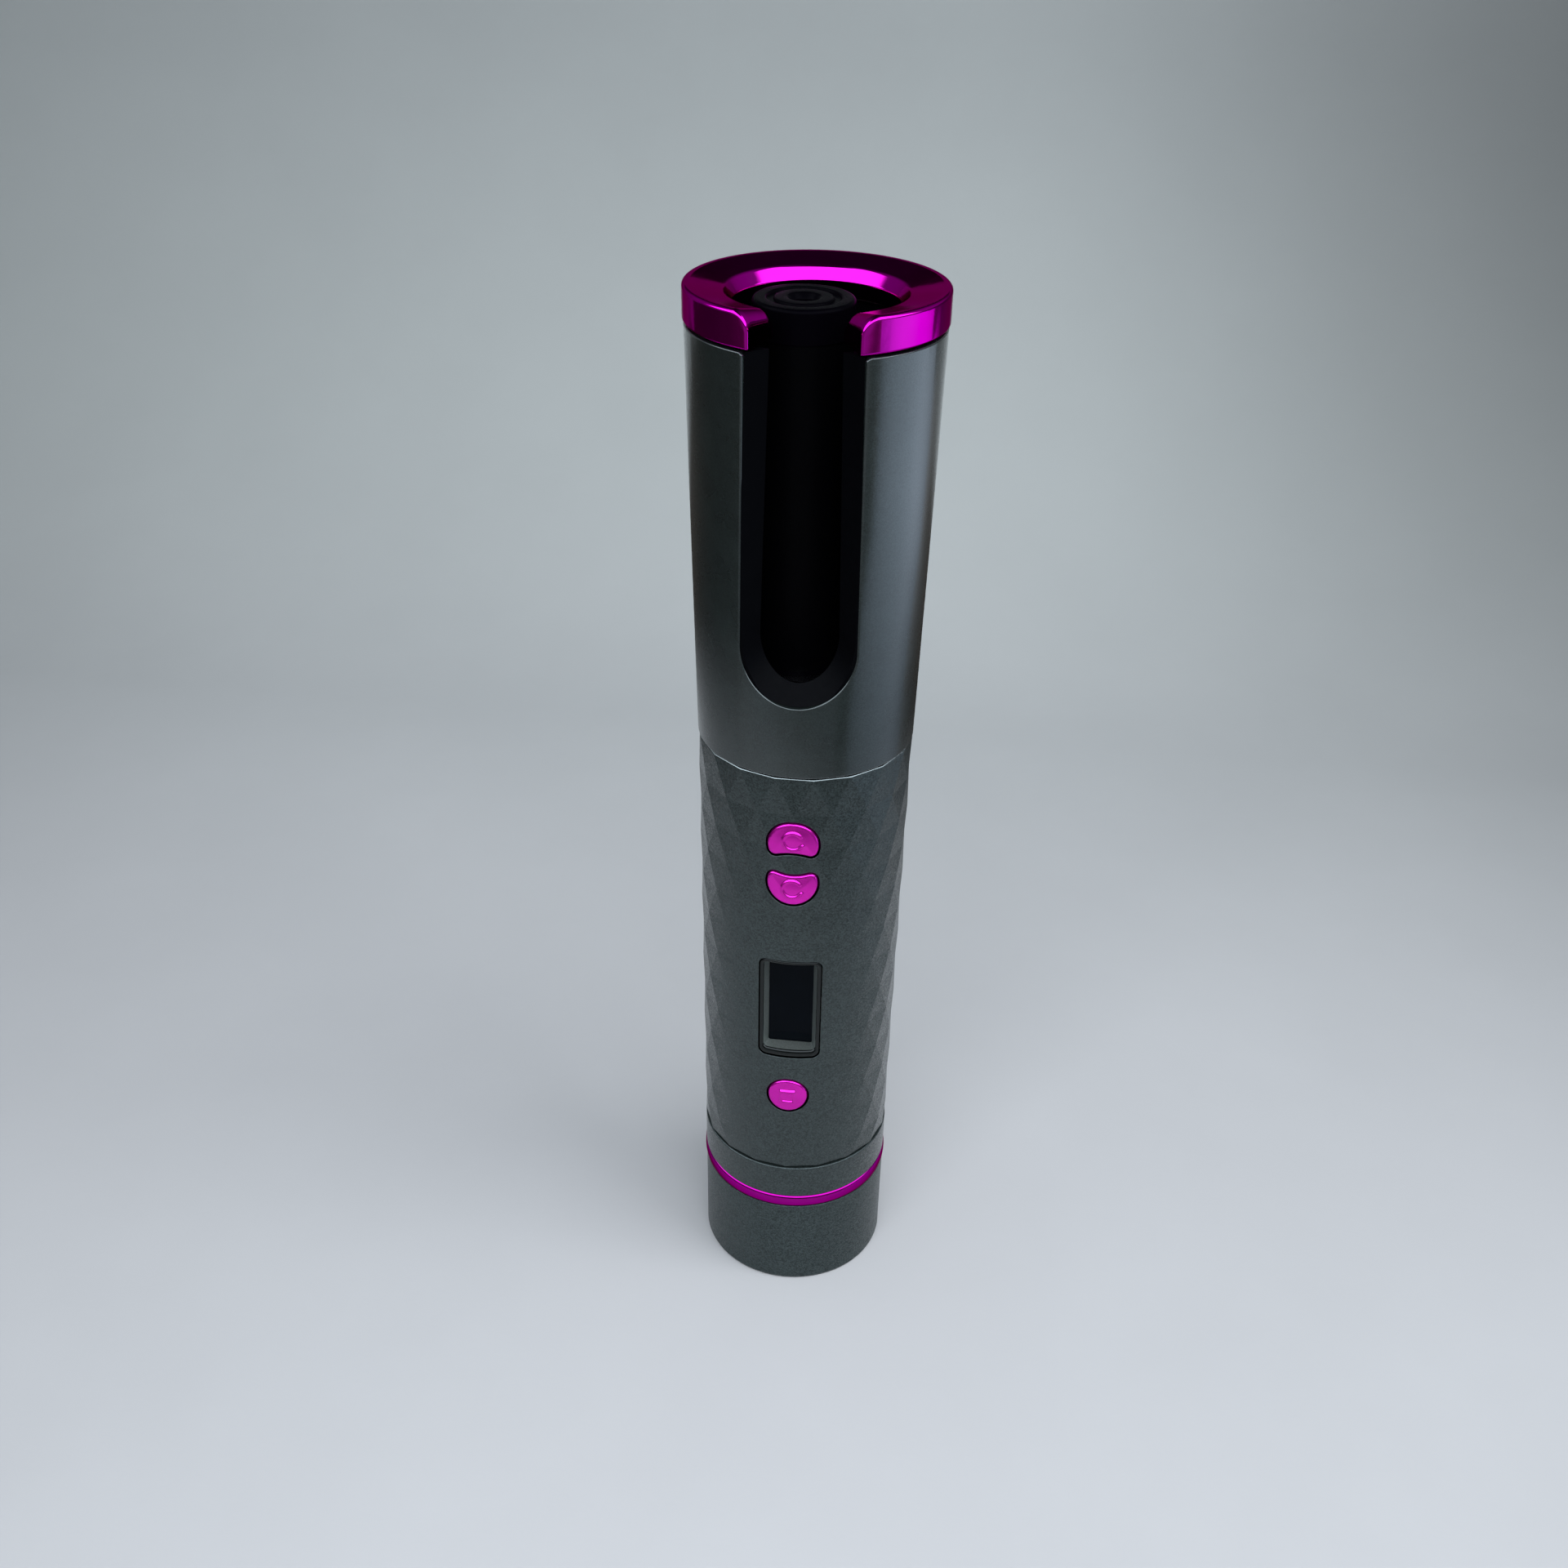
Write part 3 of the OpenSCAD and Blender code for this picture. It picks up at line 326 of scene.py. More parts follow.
# how each material is made, its name, and the values its function needs
PAINTS = (
    (chrome_paint, "magenta_chrome", MAGENTA),
    # darker copy of the chrome for the trim ring: painted shade, as its lower half faces the shaded floor by
    # the base
    (chrome_paint, "trim_chrome", shade(MAGENTA, 0.62)),
    (button_paint, "button_lacquer", (0.70, 0.011, 0.47)),
    (flake_paint, "gunmetal_gloss",
     (0.024, 0.034, 0.034), 0.28, 1.0, 0.09, 1.6, 0.00016, 0.18, 0.08, 0.16, 0.000012),
    (flake_paint, "gunmetal_satin",
     (0.033, 0.044, 0.0445), 0.33, 0.45, 0.20, 1.45, 0.00024, 0.34, 0.22, 0.10, 0.00002),
    (flake_paint, "base_lacquer",
     (0.040, 0.0525, 0.0535), 0.38, 0.05, 0.25, 1.4, 0.00024, 0.34, 0.18, 0.10, 0.00002),
    (flake_paint, "bevel_paint",
     (0.21, 0.24, 0.235), 0.34, 0.4, 0.10, 1.5, 0.00014, 0.12, 0.06, 0.05, 0.00001),
    # near-black glossy rim round the display: its dark colour is partly painted shade of the gap round the
    # window
    (flake_paint, "rim_paint",
     (0.004, 0.006, 0.006), 0.22, 0.45, 0.06, 1.5, 0.00014, 0.12, 0.06, 0.05, 0.00001),
    (moulded, "black_gloss", (0.0008, 0.0009, 0.0014), 0.42, 0.0012, 0.000008, 0.12, 0.03),
    (moulded, "black_glass", (0.0012, 0.0020, 0.0034), 0.08, 0.003, 0.000002, 0.12, 0.04),
    (moulded, "black_coat", (0.0006, 0.0006, 0.0009), 0.45, 0.0005, 0.000012, 0.12, 0.03),
    (moulded, "black_heatproof", (0.0008, 0.0006, 0.0014), 0.30, 0.0006, 0.00002, 0.12, 0.012),
    (moulded, "white_plastic", (0.70, 0.70, 0.66), 0.45, 0.0009, 0.000015, 0.05),
    (moulded, "ceramic_white", (0.80, 0.79, 0.74), 0.55, 0.0004, 0.00002, 0.05),
    (moulded, "wire_sleeve", (0.42, 0.035, 0.02), 0.5, 0.0006, 0.00001, 0.12),
    (worked_metal, "bare_aluminium", (0.78, 0.79, 0.80), 0.30, (1, 1, 0.1)),
    (worked_metal, "plated_steel", (0.62, 0.63, 0.65), 0.26, (1, 1, 1)),
    (worked_metal, "brass", (0.75, 0.52, 0.20), 0.24, (1, 1, 6)),
    # lighter metal for the handle's top chamfer: a painted highlight where the edge catches light from above
    (worked_metal, "edge_wear", (0.33, 0.37, 0.37), 0.32, (1, 1, 1), 0.0006),
    (board_mask, "board_green"),
    (wrap_film, "cell_wrap"),
)
materials = {name: make(name, *values) for make, name, *values in PAINTS}
for node_name, node_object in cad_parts.items():
    slots = node_object.data.materials
    for position, old in enumerate(slots):
        slots[position] = materials["base_lacquer" if node_name == "base_cup" else old.name]


# ---- mesh helpers
def smoothstep(low, high, value):
    t = np.clip((np.asarray(value, float) - low) / (high - low), 0, 1)
    return t * t * (3 - 2 * t)


def unit(vectors):
    """A vector, or rows of vectors, brought to length 1."""
    vectors = np.asarray(vectors, float)
    return vectors / np.maximum(np.linalg.norm(vectors, axis=-1, keepdims=True), 1e-12)


def around(angle, radius, z):
    """Points at these angles from the front, distances from the axis and heights."""
    return np.stack(np.broadcast_arrays(radius * np.sin(angle), -radius * np.cos(angle), z), axis=-1)


def add_piece(name, points, faces, slot, body="housing", replaces=(), normals=None, look=None):
    """Links a mesh given in millimetres, rides it on its body and hides the CAD nodes that it stands for.

    Look names its material where that isn't the slot's own."""
    mesh = bpy.data.meshes.new(name)
    mesh.from_pydata([tuple(np.asarray(p, float) * MM) for p in points], [], [tuple(f) for f in faces])
    made = bmesh.new()
    made.from_mesh(mesh)
    if normals is None:
        bmesh.ops.recalc_face_normals(made, faces=made.faces)
    made.to_mesh(mesh)
    made.free()
    mesh.shade_smooth()
    if normals is not None:
        mesh.normals_split_custom_set([tuple(n) for n in unit(normals)])
    piece = bpy.data.objects.new(name, mesh)
    scene.collection.objects.link(piece)
    mesh.materials.append(materials[look or slot])
    if normals is None:
        modifier = piece.modifiers.new("face weighted normals", "WEIGHTED_NORMAL")
        modifier.weight = 50
        modifier.keep_sharp = True
    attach(piece, body)
    if replaces:
        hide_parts(*replaces)
    return piece


def repaint(piece, look, first, last):
    """Gives the faces numbered first to last - 1 a second material."""
    piece.data.materials.append(materials[look])
    number = len(piece.data.materials) - 1
    for face in piece.data.polygons[first:last]:
        face.material_index = number


def rounded(corners, steps=4):
    """A closed outline from (x, y, radius) corners, each turned into an arc of that radius."""
    out = []
    count = len(corners)
    for i, (x, y, radius) in enumerate(corners):
        here = np.array([x, y], float)
        if radius <= 0:
            out.append(here)
            continue
        before = np.array(corners[i - 1][:2], float) - here
        after = np.array(corners[(i + 1) % count][:2], float) - here
        la, lb = np.linalg.norm(before), np.linalg.norm(after)
        before, after = before / la, after / lb
        half = math.acos(np.clip(before @ after, -1, 1)) / 2
        back = min(radius / math.tan(half), 0.49 * la, 0.49 * lb)
        radius = back * math.tan(half)
        centre = here + (before + after) / np.linalg.norm(before + after) * (radius / math.sin(half))
        start, stop = here + before * back - centre, here + after * back - centre
        sweep = math.atan2(start[0] * stop[1] - start[1] * stop[0], start @ stop)
        for a in np.linspace(0, sweep, steps + 1):
            out.append(centre + np.array([
                start[0] * math.cos(a) - start[1] * math.sin(a),
                start[0] * math.sin(a) + start[1] * math.cos(a)]))
    return np.array(out)


def subdivided(outline, step):
    """A closed outline with its long straight parts cut into pieces of about this length."""
    out = []
    for here, after in zip(outline, np.roll(outline, -1, axis=0)):
        pieces = max(1, int(np.linalg.norm(after - here) / step))
        out += [here + (after - here) * k / pieces for k in range(pieces)]
    return counter_clockwise(np.array(out))


def row_faces(rows, count, closed=True):
    """Quads between rows of count points that each run in a loop; closed joins the last row to the first."""
    faces = []
    for r in range(rows if closed else rows - 1):
        a, b = r * count, (r + 1) % rows * count
        faces += [(a + i, b + i, b + (i + 1) % count, a + (i + 1) % count) for i in range(count)]
    return faces


def lathe(name, profile, slot, segments=144, centre_x=0.0, body="housing", replaces=(), look=None):
    """Turns a closed (r, z) profile round the vertical line through centre_x."""
    angles = np.arange(segments) * 2 * math.pi / segments
    points = [(centre_x + r * math.cos(a), r * math.sin(a), z) for a in angles for r, z in profile]
    add_piece(name, points, row_faces(segments, len(profile)), slot, body, replaces, look=look)


class Flat:
    """A flat layout of points and lines that is cut into triangles and then bent into shape."""

    def __init__(self):
        self.points = []
        self.lines = []

    def line(self, points, closed=False):
        start = len(self.points)
        self.points += [(float(x), float(y)) for x, y in points]
        count = len(points)
        self.lines += [(start + i, start + i + 1) for i in range(count - 1)]
        if closed:
            self.lines.append((start + count - 1, start))

    def fill(self, low, high, step, keep_off):
        """Rows of points between two corners, kept clear of the lines."""
        xs = np.arange(low[0], high[0], step)
        ys = np.arange(low[1], high[1], step * 0.866)
        grid = np.array([(x + step / 2 * (k % 2), y) for k, y in enumerate(ys) for x in xs])
        edge = np.array([p for a, b in self.lines for p in self.spread(self.points[a], self.points[b], step)])
        clear = np.ones(len(grid), bool)
        for start in range(0, len(grid), 400):
            part = grid[start:start + 400]
            gap = np.min(np.linalg.norm(part[:, None] - edge[None], axis=2), axis=1)
            clear[start:start + 400] = gap > keep_off
        self.points += [tuple(p) for p in grid[clear]]

    @staticmethod
    def spread(a, b, step):
        """Points along a line, close enough together to keep the rows off all of it."""
        a, b = np.array(a), np.array(b)
        count = max(1, int(np.linalg.norm(b - a) / (step * 0.4)))
        return [a + (b - a) * k / count for k in range(count + 1)]

    def triangles(self, inside):
        """Points and the triangles whose middles are inside, all counter-clockwise."""
        corners = [Vector(p) for p in self.points]
        points, _, faces, *_ = geometry.delaunay_2d_cdt(corners, self.lines, [], 0, 1e-5)
        points = np.array([tuple(p) for p in points])
        faces = np.array([tuple(f) for f in faces])
        middles = points[faces].mean(axis=1)
        faces = faces[inside(middles)]
        a, b, c = (points[faces[:, k]] for k in range(3))
        area = (b[:, 0] - a[:, 0]) * (c[:, 1] - a[:, 1]) - (b[:, 1] - a[:, 1]) * (c[:, 0] - a[:, 0])
        faces = faces[np.abs(area) > 1e-9]
        area = area[np.abs(area) > 1e-9]
        faces[area < 0] = faces[area < 0][:, ::-1]
        used = np.unique(faces)
        number = np.zeros(len(points), int)
        number[used] = np.arange(len(used))
        return points[used], number[faces]


def in_outline(points, outline):
    """True for the points inside a closed outline."""
    x, y = points[:, 0], points[:, 1]
    inside = np.zeros(len(points), bool)
    for (x1, y1), (x2, y2) in zip(outline, np.roll(outline, -1, axis=0)):
        crosses = (y1 > y) != (y2 > y)
        with np.errstate(divide="ignore", invalid="ignore"):
            inside ^= crosses & (x < (x2 - x1) * (y - y1) / (y2 - y1) + x1)
    return inside


def line_gap(points, line):
    """Distance of each point from an open line."""
    best = np.full(len(points), 1e9)
    for a, b in zip(line[:-1], line[1:]):
        along = b - a
        t = np.clip(((points - a) @ along) / max(along @ along, 1e-12), 0, 1)
        best = np.minimum(best, np.linalg.norm(points - a - t[:, None] * along, axis=1))
    return best


def outline_gap(points, outline):
    """Distance of each point from a closed outline."""
    return line_gap(points, np.vstack([outline, outline[:1]]))


def weld(positions, faces):
    """One point for each place, as both sides of the cut at the back share theirs, and renumbered faces."""
    key = {}
    new = np.empty(len(positions), int)
    kept = []
    for i, p in enumerate(positions):
        k = tuple(np.round(np.asarray(p) / 0.002 + 0.137).astype(int))
        if k not in key:
            key[k] = len(kept)
            kept.append(i)
        new[i] = key[k]
    return np.array(kept), new[faces]


def real_triangles(faces):
    """True for the triangles whose three corners are still apart after welding."""
    return (faces[:, 0] != faces[:, 1]) & (faces[:, 1] != faces[:, 2]) & (faces[:, 2] != faces[:, 0])


def border_loops(faces):
    """The open edges of a triangle sheet, joined into closed loops in the sheet's own direction."""
    directed = {(f[k], f[(k + 1) % 3]) for f in faces for k in range(3)}
    follow = {a: b for a, b in directed if (b, a) not in directed}
    loops = []
    while follow:
        start, here = next(iter(follow.items()))
        loop = [start]
        del follow[start]
        while here != start:
            loop.append(here)
            here = follow.pop(here)
        loops.append(loop)
    return loops


def facing_out(points, faces, outward):
    """The faces, turned over if they face inwards, and the mean normals at their corners."""
    across = np.cross(points[faces[:, 1]] - points[faces[:, 0]], points[faces[:, 2]] - points[faces[:, 0]])
    normals = np.zeros_like(points)
    for k in range(3):
        np.add.at(normals, faces[:, k], across)
    normals = unit(normals)
    return (faces[:, ::-1], -normals) if np.sum(normals * outward) < 0 else (faces, normals)


LIP_STEPS = (0.0, 0.30, 0.62, 1.0)
LIP_BLEND = 0.02


def lip_rows(radius):
    """Distances in from the edge of the rows of points that a rounded edge has."""
    return [radius * (1 - math.cos(math.pi / 2 * t)) for t in LIP_STEPS]


def lip_drop(gap, radius):
    """How far a rounded edge has dropped at this distance from it."""
    t = np.clip(1 - np.asarray(gap) / radius, 0, 1)
    return radius * (1 - np.sqrt(np.clip(1 - t * t, 0, 1)))


def offset_outline(outline, distance):
    """The outline moved outwards (positive) along its own normals; it runs counter-clockwise."""
    ahead = unit(np.roll(outline, -1, axis=0) - outline)
    along = unit(ahead + np.roll(ahead, 1, axis=0))
    return outline + np.stack([along[:, 1], -along[:, 0]], axis=1) * distance


def counter_clockwise(outline):
    x, y = outline[:, 0], outline[:, 1]
    area = np.sum(x * np.roll(y, -1) - np.roll(x, -1) * y)
    return outline if area > 0 else outline[::-1]


# ---- cap
def build_cap():
    """The chrome ring, open at the front, whose top edge rolls down to each side of the gap."""
    end_round, end_rows, roll_rows, steps = 0.42, 6, 12, 150
    profile = subdivided(rounded([
        (BORE_R, CAP_LOW, 0.45), (CAP_R - 0.03, CAP_LOW, 0.5), (CAP_R, TOTAL_H, 0.75),
        (CAP_R - 1.3, TOTAL_H - 0.02, 1.2), (FUNNEL_R + 0.25, TOTAL_H - 1.12, 1.0),
        (BORE_R, TOTAL_H - 3.2, 0.8)], 5), 1.6)
    stations = []
    for a in np.linspace(0, math.pi / 2, end_rows):
        stations.append((end_round * (1 - math.cos(a)), end_round * (1 - math.sin(a))))
    stations += [(d, 0.0) for d in np.linspace(0.7, CAP_GAP_ROUND + 0.2, roll_rows)]
    start = CAP_GAP + stations[-1][0] / ((BORE_R + CAP_R) / 2)
    angles = [(CAP_GAP + d / CAP_R, inset, d) for d, inset in stations]
    angles += [(start + (2 * math.pi - 2 * start) * k / steps, 0.0, CAP_GAP_ROUND) for k in range(1, steps)]
    angles += [(2 * math.pi - a, inset, d) for a, inset, d in reversed(angles[:len(stations)])]
    points = []
    for angle, inset, d in angles:
        r, z = offset_outline(profile, -inset).T
        short = CAP_GAP_ROUND - min(d, CAP_GAP_ROUND)
        top = TOTAL_H - CAP_GAP_ROUND + math.sqrt(CAP_GAP_ROUND ** 2 - short ** 2)
        squash = (top - CAP_LOW) / (TOTAL_H - CAP_LOW)
        points += list(around(angle, r, CAP_LOW + (z - CAP_LOW) * squash))
    count = len(profile)
    faces = row_faces(len(angles), count, closed=False)
    faces.append(tuple(range(count)))
    faces.append(tuple(range((len(angles) - 1) * count, len(angles) * count))[::-1])
    add_piece("cap_ring", points, faces, "magenta_chrome", replaces=["top_cap"])


# ---- barrel shell
ROLL_R = 20.0


def build_shell():
    """The tapered tube with its U-shaped slot, laid out flat and rolled round the axis."""
    lip, corner = 0.28, 0.8
    low, top = SHELL_LOW, SHELL_TOP
    slot_z = SLOT_BOTTOM + SLOT_LOW_HALF
    edge = math.pi * ROLL_R

    def u_at(x, z):
        """Where in the flat layout a point at this x comes from."""
        return ROLL_R * math.asin(x / shell_r(z))

    def open_edge(grow):
        """The open edge from the back: along the top, down and up the slot's sides, and on to the back."""
        first = u_at(SLOT_TOP_HALF, top) + corner + 0.4
        out = [(u, top - grow) for u in edge * (1 - np.arange(70) / 70) if u > first]
        cx, cz = SLOT_TOP_HALF + corner + 0.02, top - corner
        for a in np.linspace(math.pi / 2, math.pi, 7):
            out.append((u_at(cx + (corner - grow) * math.cos(a), top), cz + (corner - grow) * math.sin(a)))
        for z in np.linspace(cz, slot_z, 29)[1:-1]:
            half = SLOT_LOW_HALF + (SLOT_TOP_HALF - SLOT_LOW_HALF) * (z - slot_z) / (top - slot_z)
            out.append((u_at(half + grow, z), z))
        for a in np.linspace(0, -math.pi / 2, 25):
            r = SLOT_LOW_HALF + grow
            z = slot_z + r * math.sin(a)
            out.append((u_at(r * math.cos(a), z), z))
        return out + [(-u, z) for u, z in out[-2::-1]]

    flat = Flat()
    insets = lip_rows(lip)
    for inset in insets:
        flat.line(open_edge(inset))
        flat.line([(u, low + inset) for u in np.linspace(-edge, edge, 141)])
    heights = [low + d for d in insets[:-1]] + list(np.linspace(low + lip, top - lip, 40))
    heights += [top - d for d in insets[-2::-1]]
    for side in (-1, 1):
        flat.line([(side * edge, z) for z in heights])
    flat.fill((-edge, low), (edge, top), 1.7, 0.75)
    slot_edge = np.array(open_edge(0.0))
    outline = np.vstack([[(-edge, low), (edge, low)], slot_edge])
    points, faces = flat.triangles(lambda m: in_outline(m, outline))
    drop = np.maximum(lip_drop(points[:, 1] - low, lip), lip_drop(line_gap(points, slot_edge), lip))
    angle, z = points[:, 0] / ROLL_R, points[:, 1]
    lean = math.atan((SHELL_TOP_R - SEAM_R) / (SHELL_TOP - SHELL_LOW))
    outer = around(angle, shell_r(z) - drop, z)
    inner = around(angle, shell_r(z) - SHELL_WALL, z)
    exact = around(angle, math.cos(lean), -math.sin(lean))

    kept, faces = weld(outer, faces)
    outer, inner, drop, exact = outer[kept], inner[kept], drop[kept], exact[kept]
    faces, geometric = facing_out(outer, faces[real_triangles(faces)], exact)
    count = len(outer)
    blend = smoothstep(0.0, LIP_BLEND, drop)[:, None]
    outer_n = exact * (1 - blend) + geometric * blend
    all_faces = [tuple(f) for f in faces] + [tuple(f[::-1] + count) for f in faces]
    normals = [outer_n[v] for f in faces for v in f] + [-exact[v] for f in faces for v in f[::-1]]
    for loop in border_loops(faces):
        for a, b in zip(loop, loop[1:] + loop[:1]):
            all_faces.append((b, a, a + count, b + count))
            wall = unit(np.cross(outer[a] - outer[b], inner[b] - outer[b]))
            normals += [wall * 0.7 + outer_n[b] * 0.3, wall * 0.7 + outer_n[a] * 0.3, wall, wall]
    add_piece("shell_skin", list(outer) + list(inner), all_faces, "gunmetal_gloss", replaces=["barrel_shell"],
              normals=normals)


# ---- button outlines
BEAN_R, BEAN_CENTRE, BEAN_CUP_R, BEAN_CUP_CENTRE, BEAN_CORNER = 4.94, 4.27, 9.8, -7.45, 1.4


def arc(cx, cy, r, a0, a1, steps):
    """Points along an arc about (cx, cy), from angle a0 to angle a1."""
    return [(cx + r * math.cos(a), cy + r * math.sin(a)) for a in np.linspace(a0, a1, steps + 1)]


def bean(lower, grow=0.0):
    """Outline of a direction button as seen from the front, in x and z."""
    reach, inner, span = BEAN_CUP_R + BEAN_CORNER, BEAN_R - BEAN_CORNER, BEAN_CENTRE - BEAN_CUP_CENTRE
    up = (reach * reach - inner * inner + span * span) / (2 * span)
    cx = math.sqrt(reach * reach - up * up)
    cz = BEAN_CUP_CENTRE + up
    main, cup = math.atan2(cz - BEAN_CENTRE, cx), math.atan2(up, cx)
    out = arc(0, BEAN_CENTRE, BEAN_R + grow, main, math.pi - main, 44)
    out += arc(-cx, cz, BEAN_CORNER + grow, math.pi - main, 2 * math.pi - cup, 14)[1:]
    out += arc(0, BEAN_CUP_CENTRE, BEAN_CUP_R - grow, math.pi - cup, cup, 22)[1:]
    out += arc(cx, cz, BEAN_CORNER + grow, math.pi + cup, 2 * math.pi + main, 14)[1:-1]
    out = np.array(out)
    if lower:
        out[:, 1] *= -1
    out[:, 1] += BEAN_MID_Z
    return counter_clockwise(out)


def disc(grow=0.0):
    return counter_clockwise(np.array(arc(0, ROUND_Z, ROUND_R + grow, 0, 2 * math.pi, 72)[:-1]))


def box_corners(half, low, top, radius):
    return [(half, low, radius), (half, top, radius), (-half, top, radius), (-half, low, radius)]


def window():
    return subdivided(rounded(box_corners(WINDOW_W / 2, WINDOW_LOW, WINDOW_TOP, WINDOW_CORNER), 6), 1.2)


# ---- handle
PITCH_ANGLE = 2 * math.pi / FACETS
SMOOTH_INSET = 0.13


def ring_level(i):
    return GRIP_TOP - TOP_CHAMFER - i * ROW_H if i <= ROWS else GRIP_LOW + LOW_ROUND


RING_Z = np.array([ring_level(i) for i in range(ROWS + 2)])


def facet_corner(i, steps):
    """Corner of ring i at this many facet steps from the front."""
    return around(steps * PITCH_ANGLE, grip_r(RING_Z[i]), RING_Z[i])


def on_facets(angle, z):
    """Place on the faceted skin and that facet's normal, for arrays of angle from the front and height."""
    row = np.clip(np.searchsorted(-RING_Z, -z, side="left") - 1, 0, ROWS)
    t = np.clip((RING_Z[row] - z) / (RING_Z[row] - RING_Z[row + 1]), 0, 1)
    s = angle / PITCH_ANGLE
    even = row % 2 == 0
    base = np.where(even, s - 0.5 * (1 - t), s - 0.5 * t)
    k = np.floor(base + 1e-9)
    r = np.clip(base - k, 0, 1)
    up = np.where(even, r < t, r >= 1 - t)
    with np.errstate(divide="ignore", invalid="ignore"):
        rho_even = np.where(up, r / t, (r - t) / (1 - t))
        rho_odd = np.where(up, (r - 1 + t) / t, r / (1 - t))
    rho = np.where(even, rho_even, rho_odd)
    rho = np.clip(np.nan_to_num(rho, nan=0.0, posinf=1.0, neginf=0.0), 0, 1)
    top_a = np.where(even, k + 0.5, k)
    low_c = np.where(even, k, k + 0.5)
    top_left = np.where(up & ~even, top_a + 1, top_a)
    top_right = np.where(up, top_left, top_a + 1)
    low_left = np.where(up, low_c, np.where(even, k + 1, low_c))
    low_right = np.where(up, low_c + 1, low_left)
    corners = [facet_corner(row, top_left), facet_corner(row, top_right),
               facet_corner(row + 1, low_left), facet_corner(row + 1, low_right)]
    share_top = np.where(up, 0, rho)[:, None]
    share_low = np.where(up, rho, 0)[:, None]
    t = t[:, None]
    place = (1 - t) * ((1 - share_top) * corners[0] + share_top * corners[1]) \
        + t * ((1 - share_low) * corners[2] + share_low * corners[3])
    third = np.where(up[:, None], corners[3], corners[1])
    normal = unit(np.cross(corners[2] - corners[0], third - corners[0]))
    normal *= np.sign(np.sum(normal * around(angle, 1.0, 0.0), axis=1, keepdims=True))
    return place, normal


def smooth_share(angle, z):
    """1 where the handle is a plain cone, round the controls, and 0 where it is faceted."""
    turn = np.abs((angle + math.pi) % (2 * math.pi) - math.pi)
    front = 1 - smoothstep(math.radians(38), math.radians(56), turn)
    level = 1 - 0.90 * smoothstep(84, 120, z)
    return front * level


def build_handle():
    """The handle's skin, with flat facets, a smooth part round the controls and a hole for each of them."""
    lip = 0.16
    inner_low_r, inner_top_r = 17.6, 18.4
    fine_reach = ROLL_R * math.radians(64)
    steps = np.arange(-(FACETS // 2), FACETS // 2 + 1)
    flat = Flat()
    rings = []
    for i in range(ROWS + 2):
        shift = 0.5 if i % 2 == 0 else 0.0
        rings.append([(ROLL_R * PITCH_ANGLE * (k + shift), RING_Z[i]) for k in steps])
        flat.line(rings[-1])
    for i in range(ROWS + 1):
        whole, shifted = (rings[i + 1], rings[i]) if i % 2 == 0 else (rings[i], rings[i + 1])
        flat.line([corner for pair in zip(whole, shifted) for corner in pair])
    hole_lines = []
    for hole in (bean(False, BUTTON_GAP), bean(True, BUTTON_GAP), disc(BUTTON_GAP), window()):
        x, z = hole.T
        hole_lines.append(np.stack([ROLL_R * np.arcsin(x / grip_r(z)), z], axis=1))
        for d in lip_rows(lip):
            flat.line(offset_outline(hole_lines[-1], d), closed=True)
    flat.fill((-fine_reach, GRIP_LOW + 0.4), (fine_reach, RING_Z[0] - 0.4), 1.5, 0.5)
    outline = np.array([ring[0] for ring in rings] + [ring[-1] for ring in rings[::-1]])

    def inside(m):
        ok = in_outline(m, outline)
        for line in hole_lines:
            ok &= ~in_outline(m, line)
        return ok

    points, faces = flat.triangles(inside)
    angle, z = points[:, 0] / ROLL_R, points[:, 1]
    drop = np.max([lip_drop(outline_gap(points, line), lip) for line in hole_lines], axis=0)
    place, _ = on_facets(angle, z)
    share = smooth_share(angle, z)[:, None]
    radial = around(angle, 1.0, 0.0)
    cone = around(angle, grip_r(z) - SMOOTH_INSET, z)
    outer = place * (1 - share) + cone * share - radial * drop[:, None]
    # at the front the inner sheet lies straight behind the outer one, so the holes' walls miss the buttons
    inner_r = inner_low_r + (inner_top_r - inner_low_r) * (z - GRIP_LOW) / (GRIP_TOP - GRIP_LOW)
    straight = np.arcsin(np.clip(grip_r(z) * np.sin(angle) / inner_r, -0.98, 0.98))
    front = 1 - smoothstep(math.radians(22), math.radians(56), np.abs(angle))
    inner = around(angle + (straight - angle) * front, inner_r, z)
    lean = math.atan((SEAM_R - 0.08 - GRIP_LOW_R) / (GRIP_TOP - GRIP_LOW))
    exact = around(angle, math.cos(lean), 0.0) - np.array([0, 0, math.sin(lean)])

    middles = points[faces].mean(axis=1)
    _, facet_n = on_facets(middles[:, 0] / ROLL_R, middles[:, 1])
    kept, welded = weld(outer, faces)
    outer, inner, drop, exact, share, radial = (v[kept] for v in (outer, inner, drop, exact, share, radial))
    whole = real_triangles(welded)
    facet_n = facet_n[whole]
    faces, geometric = facing_out(outer, welded[whole], exact)
    count = len(outer)
    loops = border_loops(faces)
    top_loop, low_loop = (
        next(loop for loop in loops if np.all(np.abs(outer[loop][:, 2] - level) < 1e-3))
        for level in (RING_Z[0], RING_Z[-1]))
    blend = smoothstep(0.0, LIP_BLEND, drop)[:, None]
    all_points = list(outer) + list(inner)
    all_faces = [tuple(f) for f in faces] + [tuple(f[::-1] + count) for f in faces]
    normals = []
    for f, n in zip(faces, facet_n):
        soft = exact[f] * share[f] + n * (1 - share[f])
        normals += list(soft * (1 - blend[f]) + geometric[f] * blend[f])
    normals += [-exact[v] for f in faces for v in f[::-1]]

    def add_row(places):
        """Adds a row of points and returns their numbers."""
        all_points.extend(places)
        return list(range(len(all_points) - len(places), len(all_points)))

    def strip(row_a, row_b, normal_a, normal_b):
        """Quads between two rows of point numbers that run along the same loop."""
        size = len(row_a)
        for i in range(size):
            j = (i + 1) % size
            all_faces.append((row_a[j], row_a[i], row_b[i], row_b[j]))
            normals.extend([normal_a[j], normal_a[i], normal_b[i], normal_b[j]])

